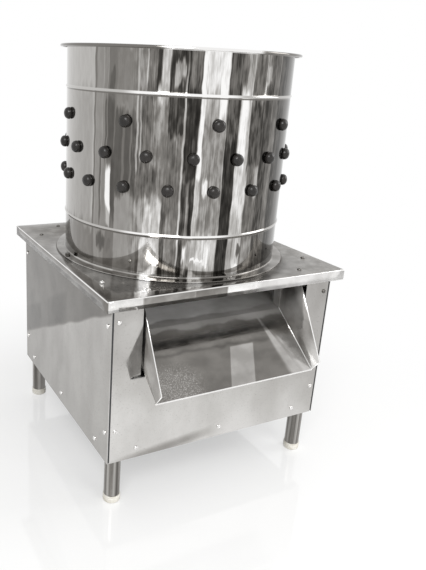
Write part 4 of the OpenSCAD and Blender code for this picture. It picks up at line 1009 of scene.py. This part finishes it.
# %% Ring tree
def new_tree(name, **given):
    """A Geometry Nodes tree; given are its inputs' kinds, besides a geometry and a finish."""
    tree = bpy.data.node_groups.new(name, "GeometryNodeTree")
    tree.interface.new_socket("Geometry", in_out="OUTPUT", socket_type="NodeSocketGeometry")
    for label, kind in {"Geometry": "Geometry", **given, "Finish": "Material"}.items():
        tree.interface.new_socket(label.replace("_", " "), in_out="INPUT",
                                  socket_type="NodeSocket" + kind)
    return tree, tree.nodes.new("NodeGroupInput").outputs


def aimed(direction):
    """The turn that points a piece's Z along a direction."""
    return add(direction, "FunctionNodeAlignRotationToVector", {"axis": "Z"},
               {"Vector": direction}).outputs[0]


def copies(given, points, turns):
    """The given piece, copied on to points with a turn at each."""
    piece = add(points, "GeometryNodeObjectInfo", inputs={0: given["Piece"]})
    return add(points, "GeometryNodeInstanceOnPoints", inputs={
        "Points": points, "Rotation": turns, "Instance": piece.outputs["Geometry"]}).outputs[0]


def finish_tree(given, instances):
    """Copies become real mesh and take their finish, because an export drops instances."""
    tree = instances.id_data
    real = add(tree, "GeometryNodeRealizeInstances", inputs={0: instances})
    painted = add(tree, "GeometryNodeSetMaterial",
                  inputs={0: real.outputs[0], "Material": given["Finish"]})
    tree.links.new(painted.outputs[0], tree.nodes.new("NodeGroupOutput").inputs[0])
    return tree


def ring_tree():
    tree, given = new_tree("ring_of_copies", Piece="Object", Count="Int", Step="Float",
                           Radius="Float", Centre="Vector", First_angle="Float",
                           Heads_out="Bool")
    line = add(tree, "GeometryNodeMeshLine", inputs={"Count": given["Count"]})
    number = add(tree, "GeometryNodeInputIndex").outputs[0]
    angle = math_of("MULTIPLY_ADD", number, given["Step"], given["First angle"])
    spot = add(tree, "ShaderNodeCombineXYZ", inputs={
        0: math_of("MULTIPLY", math_of("COSINE", angle), given["Radius"]),
        1: math_of("MULTIPLY", math_of("SINE", angle), given["Radius"])})
    placed = add(tree, "GeometryNodeSetPosition",
                 inputs={0: line.outputs[0], "Position": spot.outputs[0]})
    facing = add(tree, "GeometryNodeSwitch", {"input_type": "VECTOR"}, {
        0: given["Heads out"], 1: (0, 0, -1),
        2: add(tree, "GeometryNodeInputPosition").outputs[0]})
    ring = copies(given, placed.outputs[0], aimed(facing.outputs[0]))
    moved = add(tree, "GeometryNodeTransform", inputs={0: ring, "Translation": given["Centre"]})
    return finish_tree(given, moved.outputs[0])


RING = ring_tree()


# %% [markdown]
# A tree runs as a modifier on a carrier object. Its inputs are set by the sockets' identifiers
# before the object is first evaluated. The result is settled as plain mesh straight away.

# %% Run a tree
def run_tree(name, tree, carrier=None, **values):
    """Run a tree on a carrier mesh and return its result as an object of plain mesh."""
    piece = bpy.data.objects.new(name, carrier or bpy.data.meshes.new(name))
    modifier = piece.modifiers.new(tree.name, "NODES")
    modifier.node_group = tree
    for socket in tree.interface.items_tree:
        key = socket.name.replace(" ", "_")
        if socket.in_out == "INPUT" and key in values:
            modifier[socket.identifier] = values[key]
    bpy.context.scene.collection.objects.link(piece)
    settle(piece)
    for attribute in [a for a in piece.data.attributes if a.name == "facing"]:
        piece.data.attributes.remove(attribute)
    return piece


# %% Drum fingers
def finger_ring(name, finger, radius, height, count, step, first, out):
    """Fingers on a circle round the axis; the step and the first angle are in degrees."""
    return run_tree(name, RING, Piece=finger, Count=count, Step=math.radians(step),
                    Radius=radius, Centre=(AXIS.x, AXIS.y, height),
                    First_angle=math.radians(first), Heads_out=out,
                    Finish=FINISH["finger_rubber"])


PLACES = 17
PITCH = 360 / PLACES
FIRST = -101
ROWS = [  # row, height above the top plate in mm, fingers, step and first angle in degrees
    ("upper", 312.5, PLACES // 2, 2 * PITCH, FIRST - 6 * PITCH),
    ("middle", 247.5, PLACES, PITCH, FIRST + PITCH / 2),
    ("lower", 183.5, PLACES, PITCH, FIRST),
]
FINGER_REACH = 80 * MM
drum_finger = build_finger("drum_finger", 14 * MM, SHEET, FINGER_REACH)
for row, height, count, step, first in ROWS:
    ring = finger_ring("rubber_fingers_" + row, drum_finger, DRUM_R, PLATE_TOP + height * MM,
                       count, step, first, True)
    install(ring, "drum_fingers_" + row)
bpy.data.objects.remove(drum_finger)

# %% Plate fingers
PLATE_RINGS = [(200, 12, 15), (142, 8, 0), (84, 4, 0)]  # radius in mm, fingers, first angle
FEATHER_PLATE_T = 4 * MM
plate_finger = build_finger("plate_finger", 9 * MM, FEATHER_PLATE_T, FINGER_REACH)
rings = [finger_ring("plate_ring", plate_finger, radius * MM, feather_low.z, count,
                     360 / count, first, False) for radius, count, first in PLATE_RINGS]
install(joined("rubber_fingers_on_plate", rings), "plate_fingers")
bpy.data.objects.remove(plate_finger)

# %% [markdown]
# Screws and bolts sit at places that follow no single circle. The second tree reads a carrier
# mesh: each point is a place, and a named attribute says which way the head faces there. Each
# copy is spun by its own random angle from a fixed seed, as nobody lines screw slots up.

# %% Site tree
def site_tree():
    tree, given = new_tree("copies_at_sites", Piece="Object", Seed="Int")
    facing = add(tree, "GeometryNodeInputNamedAttribute", {"data_type": "FLOAT_VECTOR"},
                 {"Name": "facing"})
    chance = add(tree, "FunctionNodeRandomValue", {"data_type": "FLOAT"},
                 {2: 0.0, 3: math.tau, "Seed": given["Seed"]})
    spun = add(tree, "FunctionNodeAxisAngleToRotation",
               inputs={"Axis": (0, 0, 1), "Angle": chance.outputs[1]})
    both_turns = add(tree, "FunctionNodeRotateRotation", {"rotation_space": "LOCAL"},
                     {0: aimed(facing.outputs[0]), 1: spun.outputs[0]})
    return finish_tree(given, copies(given, given["Geometry"], both_turns.outputs[0]))


SITES = site_tree()


def carrier_of(sites):
    """A mesh of loose points for (place, facing) pairs."""
    mesh = bpy.data.meshes.new("sites")
    mesh.from_pydata([place for place, facing in sites], [], [])
    facings = mesh.attributes.new("facing", "FLOAT_VECTOR", "POINT")
    for row, (place, facing) in zip(facings.data, sites):
        row.vector = facing
    return mesh


# %% [markdown]
# The sheets are held by pan-head screws with a cross recess. The recess is cut once, in one
# screw, with a Boolean modifier, and every copy has it.

# %% One pan-head screw
SCREW_R, PAN_R, PAN_H = 2.5 * MM, 4.8 * MM, 3.4 * MM
RECESS_LONG, RECESS_WIDE = 4.6 * MM, 0.9 * MM
UNDER_HEAD = 0.02 * MM  # the hair's breadth between a head and the sheet under it


def build_pan_screw(grip):
    outline = [(0, -grip), (SCREW_R, -grip), (SCREW_R, UNDER_HEAD), (PAN_R, UNDER_HEAD),
               (PAN_R, PAN_H * 0.35)]
    outline += [(PAN_R * math.cos(a), PAN_H * (0.35 + 0.65 * math.sin(a)))
                for a in [math.radians(d) for d in range(15, 90, 15)]] + [(0, PAN_H)]
    screw = turned("pan_screw", "fastener_steel", 40, outline, 32)
    build = bmesh.new()
    for long, wide in ((RECESS_LONG, RECESS_WIDE), (RECESS_WIDE, RECESS_LONG)):
        cube = bmesh.ops.create_cube(build, size=1)
        for v in cube["verts"]:
            narrow, level = (1, 0.5 * MM) if v.co.z > 0 else (0.55, -1.7 * MM)
            v.co = Vector((v.co.x * long * narrow, v.co.y * wide * narrow, PAN_H + level))
    cutter = make_piece(build, "recess", FINISH["fastener_steel"])
    cut = screw.modifiers.new("recess", "BOOLEAN")
    cut.operation = "DIFFERENCE"
    cut.solver = "EXACT"
    cut.use_self = True
    cut.object = cutter
    settle(screw)
    bpy.data.objects.remove(cutter)
    return screw


# %% [markdown]
# A hexagon head is chamfered all round, which leaves a curved edge on each flat. Each point round
# the head has the hexagon's own radius, and where that passes the chamfer's cone it drops.

# %% One hexagon bolt
HEX_STEPS = 36
CHAMFER_START, CHAMFER_FALL = 0.96, 0.55  # as a share of the flats' radius, and how steeply


def build_hex_bolt(shank_r, grip):
    head_r, head_h, washer_r, washer_h = shank_r * 1.9, shank_r * 1.3, shank_r * 2, 1 * MM
    build = bmesh.new()
    spin(build, [(0, -grip), (shank_r, -grip), (shank_r, UNDER_HEAD), (washer_r, UNDER_HEAD),
                 (washer_r, washer_h * 0.8), (washer_r * 0.97, washer_h), (0, washer_h)], 32)
    flat_r = head_r * math.cos(math.pi / 6)
    top, top_r = washer_h + head_h, flat_r * CHAMFER_START
    rings = [[], [], []]
    for i in range(HEX_STEPS):
        angle = i * math.tau / HEX_STEPS
        radius = flat_r / math.cos((angle + math.pi / 6) % (math.pi / 3) - math.pi / 6)
        drop = (radius - top_r) * CHAMFER_FALL
        for ring, r, z in zip(rings, (radius, radius, top_r), (washer_h, top - drop, top)):
            ring.append(build.verts.new((r * math.cos(angle), r * math.sin(angle), z)))
    for low, high in zip(rings, rings[1:]):
        skin(build, low, high, closed=True)
    build.faces.new(rings[0])
    build.faces.new(rings[-1])
    return make_piece(build, "hex_bolt", FINISH["fastener_steel"], 25)


# %% [markdown]
# The screws' places follow the frame behind the sheets: two heights on each corner post, three
# along the bottom frame on each side, and two near each corner of the top plate.

# %% Screws and bolts in place
HALF = 274.5 * MM                                 # the panels' outer faces
POST_LINE, ROW_ALONG = 258.3 * MM, 208.3 * MM     # along a panel: on the posts, on the bottom row
PLATE_LINE, PLATE_ALONG = 259.3 * MM, 190.3 * MM  # on the top plate: across and along an edge
FLANGE_BOLT_R, HUB_BOLT_R = 261.05 * MM, 40 * MM


def round_the_cabinet(post_heights, row_height):
    """Two posts and a bottom row on each of the four sides, with two sets of heights."""
    sites = []
    for side in range(4):
        places = [(x, z) for x in (-POST_LINE, POST_LINE) for z in post_heights[side % 2]]
        places += [(x, row_height) for x in (-ROW_ALONG, 0, ROW_ALONG)]
        for along, height in places:
            sites.append((AXIS + quarter(side) @ Vector((along, -HALF, 0)) + UP * (height * MM),
                          quarter(side) @ Vector((0, -1, 0))))
    return sites


def four_round(radius, height, first=0.0):
    """Four sites a quarter apart round the axis, which face up."""
    return [(AXIS + quarter(i + first) @ Vector((radius, 0, 0)) + UP * height, UP)
            for i in range(4)]


panel_sites = round_the_cabinet(((426, 183.5), (415, 177.5)), 133.5)
plate_sites = [(AXIS + Vector((sx * a, sy * b, PLATE_TOP)), UP)
               for sx in (-1, 1) for sy in (-1, 1)
               for a, b in ((PLATE_LINE, PLATE_ALONG), (PLATE_ALONG, PLATE_LINE))]
screw_low, screw_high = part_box("switch_screws")
cover_sites = [(Vector((screw_high.x - PAN_H, y, z)), Vector((1, 0, 0)))
               for y in (screw_low.y + PAN_R, screw_high.y - PAN_R)
               for z in (screw_low.z + PAN_R, screw_high.z - PAN_R)]

for name, node, piece, sites, seed in (
        ("panel_pan_screws", "panel_screws", build_pan_screw(5.7 * MM), panel_sites, 3),
        ("plate_pan_screws", "top_plate_screws", build_pan_screw(4.3 * MM), plate_sites, 5),
        ("cover_pan_screws", "switch_screws", build_pan_screw(15 * MM), cover_sites, 11),
        ("flange_hex_bolts", "flange_bolts", build_hex_bolt(3 * MM, 6.3 * MM),
         four_round(FLANGE_BOLT_R, PLATE_TOP + FLANGE_T), 7),
        ("hub_hex_bolts", "hub_bolts", build_hex_bolt(3 * MM, 14 * MM),
         four_round(HUB_BOLT_R, feather_high.z, 0.5), 9)):
    placed = run_tree(name, SITES, carrier_of(sites), Piece=piece, Seed=seed,
                      Finish=FINISH["fastener_steel"])
    bpy.data.objects.remove(piece)
    install(placed, node)

# %% [markdown]
# A leg is polished tube pushed over the spigot of a plastic foot. The foot's edges are rounded,
# so that it doesn't chip, and a shallow groove runs round it where the mould parts.

# %% Legs and feet
TUBE_WALL = 1.5 * MM
SPIGOT_R = 15.9 * MM
FOOT_CAP, FOOT_EDGE_R, CAP_EDGE_R = 17 * MM, 4 * MM, 1.2 * MM
GROOVE_DEEP = 0.7 * MM


def upright(low, high):
    """Centre on the floor, outer radius, and lowest and highest Z of a round upright's box."""
    centre = ((low.x + high.x) / 2, (low.y + high.y) / 2, 0)
    return centre, (high.x - low.x) / 2, low.z, high.z


def build_leg(corner):
    centre, radius, low, high = upright(*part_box("leg_" + corner))
    bore, edge = radius - TUBE_WALL, 0.4 * MM
    outline = [(bore, low), (radius - edge, low), (radius, low + edge), (radius, high),
               (bore, high)]
    return turned("tube_leg_" + corner, "leg_steel", 32, outline, 64, centre=centre, closed=True)


def build_foot(corner):
    centre, radius, low, high = upright(*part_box("foot_" + corner))
    outline = [(0, 0)] + arc((radius - FOOT_EDGE_R, FOOT_EDGE_R), FOOT_EDGE_R, 270, 360, 6)
    outline += [(radius - deep, FOOT_CAP - down * MM) for deep, down in
                ((0, 6), (GROOVE_DEEP, 5.3), (GROOVE_DEEP, 4.5), (0, 3.8))]
    outline += arc((radius - CAP_EDGE_R, FOOT_CAP - CAP_EDGE_R), CAP_EDGE_R, 0, 90, 3)
    outline += [(SPIGOT_R, FOOT_CAP), (SPIGOT_R, high), (0, high)]
    return turned("plastic_foot_" + corner, "foot_plastic", 32, outline, 64, centre=centre)


for corner in ("front_left", "front_right", "rear_left", "rear_right"):
    install(build_leg(corner), "leg_" + corner)
    install(build_foot(corner), "foot_" + corner)

# %% [markdown]
# Castings, boxes and pulleys have the right shape already, but for edges as sharp as a knife.
# Each is copied, its triangles are merged into whole faces, and a Bevel modifier rounds the
# edges, as the mould or the tool left them.

# %% Rounded machine parts
def rounded(node, width):
    """A copy of a CAD node with its edges rounded by a real width."""
    build = bmesh.new()
    build.from_mesh(nodes[node].data)
    bmesh.ops.remove_doubles(build, verts=build.verts, dist=0.005 * MM)
    bmesh.ops.dissolve_limit(build, angle_limit=math.radians(0.5), verts=build.verts,
                             edges=build.edges)
    piece = make_piece(build, node + "_rounded", FINISH[SLOT[node]], 30)
    bevel = piece.modifiers.new("edges", "BEVEL")
    bevel.width = width
    bevel.segments = 2
    bevel.limit_method = "ANGLE"
    bevel.angle_limit = math.radians(35)
    bevel.harden_normals = False
    return settle(piece)


ROUNDED = {"bearing_housing": 1.5, "large_pulley": 0.8, "motor_pulley": 0.6, "plate_hub": 1.0,
           "terminal_box": 2.0, "switch_cover": 0.8, "centre_nut": 0.5,
           "water_slinger": 0.8, "fan_cover": 0.6, "motor_flange": 1.0, "motor_body": 0.4,
           "bearing_bolts": 0.4, "motor_bolts": 0.4, "main_shaft": 0.6, "motor_shaft": 0.4,
           "cable_gland": 0.5, "upper_bearing": 0.3, "lower_bearing": 0.3, "switch_block": 0.8,
           "feather_plate": 0.4, "switch_box": 0.6, "motor_plate": 0.6, "tray_collar": 0.25,
           "motor_fan": 0.3}
for node, width in ROUNDED.items():
    install(rounded(node, width * MM), node)

# %% [markdown]
# A push button is a moulded cap with a dished face that a thumb finds by itself. Behind the
# cover a collar keeps it in, and its stem runs back through the spring to the switch block. It is
# one outline, spun and laid along X.

# %% Buttons
STEM_R = 4 * MM
COLLAR_T, COLLAR_OUT = 2.5 * MM, 2.5 * MM
CAP_T, CAP_FACE_R = 13 * MM, 1.6 * MM
DISH_DEEP = 0.7 * MM


def build_button(node):
    low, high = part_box(node)
    collar_r, long = (high.z - low.z) / 2, high.x - low.x
    cap_r, cap_back = collar_r - COLLAR_OUT, long - CAP_T
    outline = [(0, 0), (STEM_R - 0.5 * MM, 0), (STEM_R, 0.5 * MM), (STEM_R, cap_back - COLLAR_T),
               (collar_r, cap_back - COLLAR_T), (collar_r, cap_back), (cap_r, cap_back)]
    outline += arc((cap_r - CAP_FACE_R, long - CAP_FACE_R), CAP_FACE_R, 0, 90, 6)
    outline += [(cap_r * share, long - DISH_DEEP * (1 - share ** 2))
                for share in (0.75, 0.5, 0.25, 0)]
    along_x = (Matrix.Translation((low.x, (low.y + high.y) / 2, (low.z + high.z) / 2))
               @ Matrix.Rotation(math.pi / 2, 4, "Y"))
    return turned(node.replace("button", "push_button"), SLOT[node], 32, outline, 48,
                  place=along_x)


for node in ("start_button", "stop_button"):
    install(build_button(node), node)

# %% [markdown]
# Behind each button a coil spring pushes it back out. Geometry Nodes draw it as a spiral with a
# round wire swept along it.

# %% Button springs
def spring_tree():
    tree, given = new_tree("coil_spring", Turns="Float", Length="Float", Coil_radius="Float",
                           Wire_radius="Float", Base="Vector")
    spiral = add(tree, "GeometryNodeCurveSpiral", inputs={
        "Resolution": 32, "Rotations": given["Turns"], "Start Radius": given["Coil radius"],
        "End Radius": given["Coil radius"], "Height": given["Length"]})
    section = add(tree, "GeometryNodeCurvePrimitiveCircle", inputs={
        "Resolution": 12, "Radius": given["Wire radius"]})
    swept = add(tree, "GeometryNodeCurveToMesh", inputs={
        "Curve": spiral.outputs[0], "Profile Curve": section.outputs[0], "Fill Caps": True})
    laid = add(tree, "GeometryNodeTransform", inputs={
        0: swept.outputs[0], "Translation": given["Base"], "Rotation": (0, math.pi / 2, 0)})
    return finish_tree(given, laid.outputs[0])


SPRING = spring_tree()
WIRE_R = 0.6 * MM
SPRING_TURNS = 5.0
for joint, node in (("start_press", "start_spring"), ("stop_press", "stop_spring")):
    low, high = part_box(node)
    long = high.x - low.x
    base = Vector((low.x + WIRE_R, (low.y + high.y) / 2, (low.z + high.z) / 2))
    coil = run_tree(node.replace("spring", "coil_spring"), SPRING, Turns=SPRING_TURNS,
                    Length=long - 2 * WIRE_R, Coil_radius=(high.z - low.z) / 2 - WIRE_R,
                    Wire_radius=WIRE_R, Base=base, Finish=FINISH[SLOT[node]])
    install(coil, node)
    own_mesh(coil)

# %% [markdown]
# The floor is a pale, slightly glossy studio sheet. Close to the machine it keeps a soft shadow
# and a faint mirror image; further out it fades into the white background. Light Path tells
# camera, glossy and transmission rays from the rest, so the background is white to the eye and
# in the metal without adding light to the object.

# %% Floor and background
AMBIENT = 0.62  # how strongly the white surroundings light the machine
FLOOR_GLOW = 0.45  # how far the floor is already white where the machine stands
FADE_OUT = (0.40, 1.1)  # distance in metres over which it turns wholly white


def seen_directly(tree):
    """1 for rays that look at the background: camera, glossy and transmission rays."""
    path = add(tree, "ShaderNodeLightPath")
    seen = either(path.outputs["Is Camera Ray"], path.outputs["Is Glossy Ray"])
    return either(seen, path.outputs["Is Transmission Ray"])


def build_floor():
    material, shader, place = start_material(
        "pale_studio_floor", Roughness=0.06, Base_Color=paint("f2f2f1"), IOR=1.9)
    tree = material.node_tree
    output = next(n for n in tree.nodes if n.type == "OUTPUT_MATERIAL")
    white = add(tree, "ShaderNodeEmission", inputs={"Color": (1, 1, 1, 1), "Strength": 1.0})
    distance = add(tree, "ShaderNodeVectorMath", {"operation": "LENGTH"}, {0: place}).outputs[1]
    far = between(distance, *FADE_OUT, FLOOR_GLOW, 1.0)
    fade = both(far, seen_directly(tree))
    blend = add(tree, "ShaderNodeMixShader",
                inputs={0: fade, 1: shader.outputs[0], 2: white.outputs[0]})
    tree.links.new(blend.outputs[0], output.inputs["Surface"])
    build = bmesh.new()
    bmesh.ops.create_grid(build, x_segments=1, y_segments=1, size=6)
    floor = make_piece(build, "studio_floor", material)


def light_world():
    world = bpy.data.worlds.new("pale_studio")
    bpy.context.scene.world = world
    world.use_nodes = True
    tree = world.node_tree
    tree.nodes.clear()
    strength = mixed(seen_directly(tree), AMBIENT, 1.0)
    sky = add(tree, "ShaderNodeBackground", inputs={"Color": (1, 1, 1, 1), "Strength": strength})
    add(tree, "ShaderNodeOutputWorld", inputs={"Surface": sky.outputs[0]})


build_floor()
light_world()

# %% [markdown]
# Three soft boxes and the pale world light the machine: a large one from the front left, a
# weaker one from the right that lifts the far side, and a low one in front that reaches into the
# chute. The low one isn't mirrored in the metal: it would show on the drum as a hard oblong.

# %% Lamps
def soft_box(name, place, target, size, watts, mirrored=True):
    lamp = bpy.data.lights.new(name, "AREA")
    lamp.shape = "RECTANGLE"
    lamp.size, lamp.size_y = size
    lamp.energy = watts
    holder = bpy.data.objects.new(name, lamp)
    bpy.context.scene.collection.objects.link(holder)
    holder.location = place
    holder.rotation_mode = "QUATERNION"
    holder.rotation_quaternion = (Vector(target) - Vector(place)).to_track_quat("-Z", "Y")
    holder.visible_glossy = mirrored


soft_box("key_soft_box", (-1.6, -2.2, 2.6), (0, 0, 0.5), (1.6, 1.2), 55)
soft_box("fill_soft_box", (2.4, -0.8, 1.8), (0, 0, 0.5), (1.2, 1.6), 22)
soft_box("low_soft_box", (0.3, -1.9, 0.75), (0, -0.1, 0.42), (1.0, 0.5), 13, mirrored=False)

# %% [markdown]
# The camera stands where the photograph's camera stood: left of the chute, a little under the
# drum's rim, looking down. Its frame is shifted, because the machine stands left of the
# picture's middle. Distances along the picture are given in pixels of a 426 x 570 frame.

# %% Camera
PICTURE = (426, 570)
FOCAL_PX = 619.9
CENTRE_PX = (140, 270)
AZIMUTH, ELEVATION, ROLL = math.radians(27.8), math.radians(18.3), math.radians(2.8)
CAMERA_AT = Vector((-0.7398, -1.2618, 0.8981)) + AXIS


def place_camera():
    lens = bpy.data.cameras.new("photo_camera")
    lens.lens = FOCAL_PX / max(PICTURE) * lens.sensor_width
    lens.shift_x = (PICTURE[0] / 2 - CENTRE_PX[0]) / max(PICTURE)
    lens.shift_y = (CENTRE_PX[1] - PICTURE[1] / 2) / max(PICTURE)
    camera = bpy.data.objects.new("photo_camera", lens)
    bpy.context.scene.collection.objects.link(camera)
    look = Vector((math.sin(AZIMUTH) * math.cos(ELEVATION),
                   math.cos(AZIMUTH) * math.cos(ELEVATION), -math.sin(ELEVATION)))
    camera.location = CAMERA_AT
    level = look.to_track_quat("-Z", "Y").to_matrix()
    camera.rotation_euler = (level @ Matrix.Rotation(ROLL, 3, "Z")).to_euler()
    bpy.context.scene.camera = camera


place_camera()
bpy.context.scene.view_settings.view_transform = "Standard"
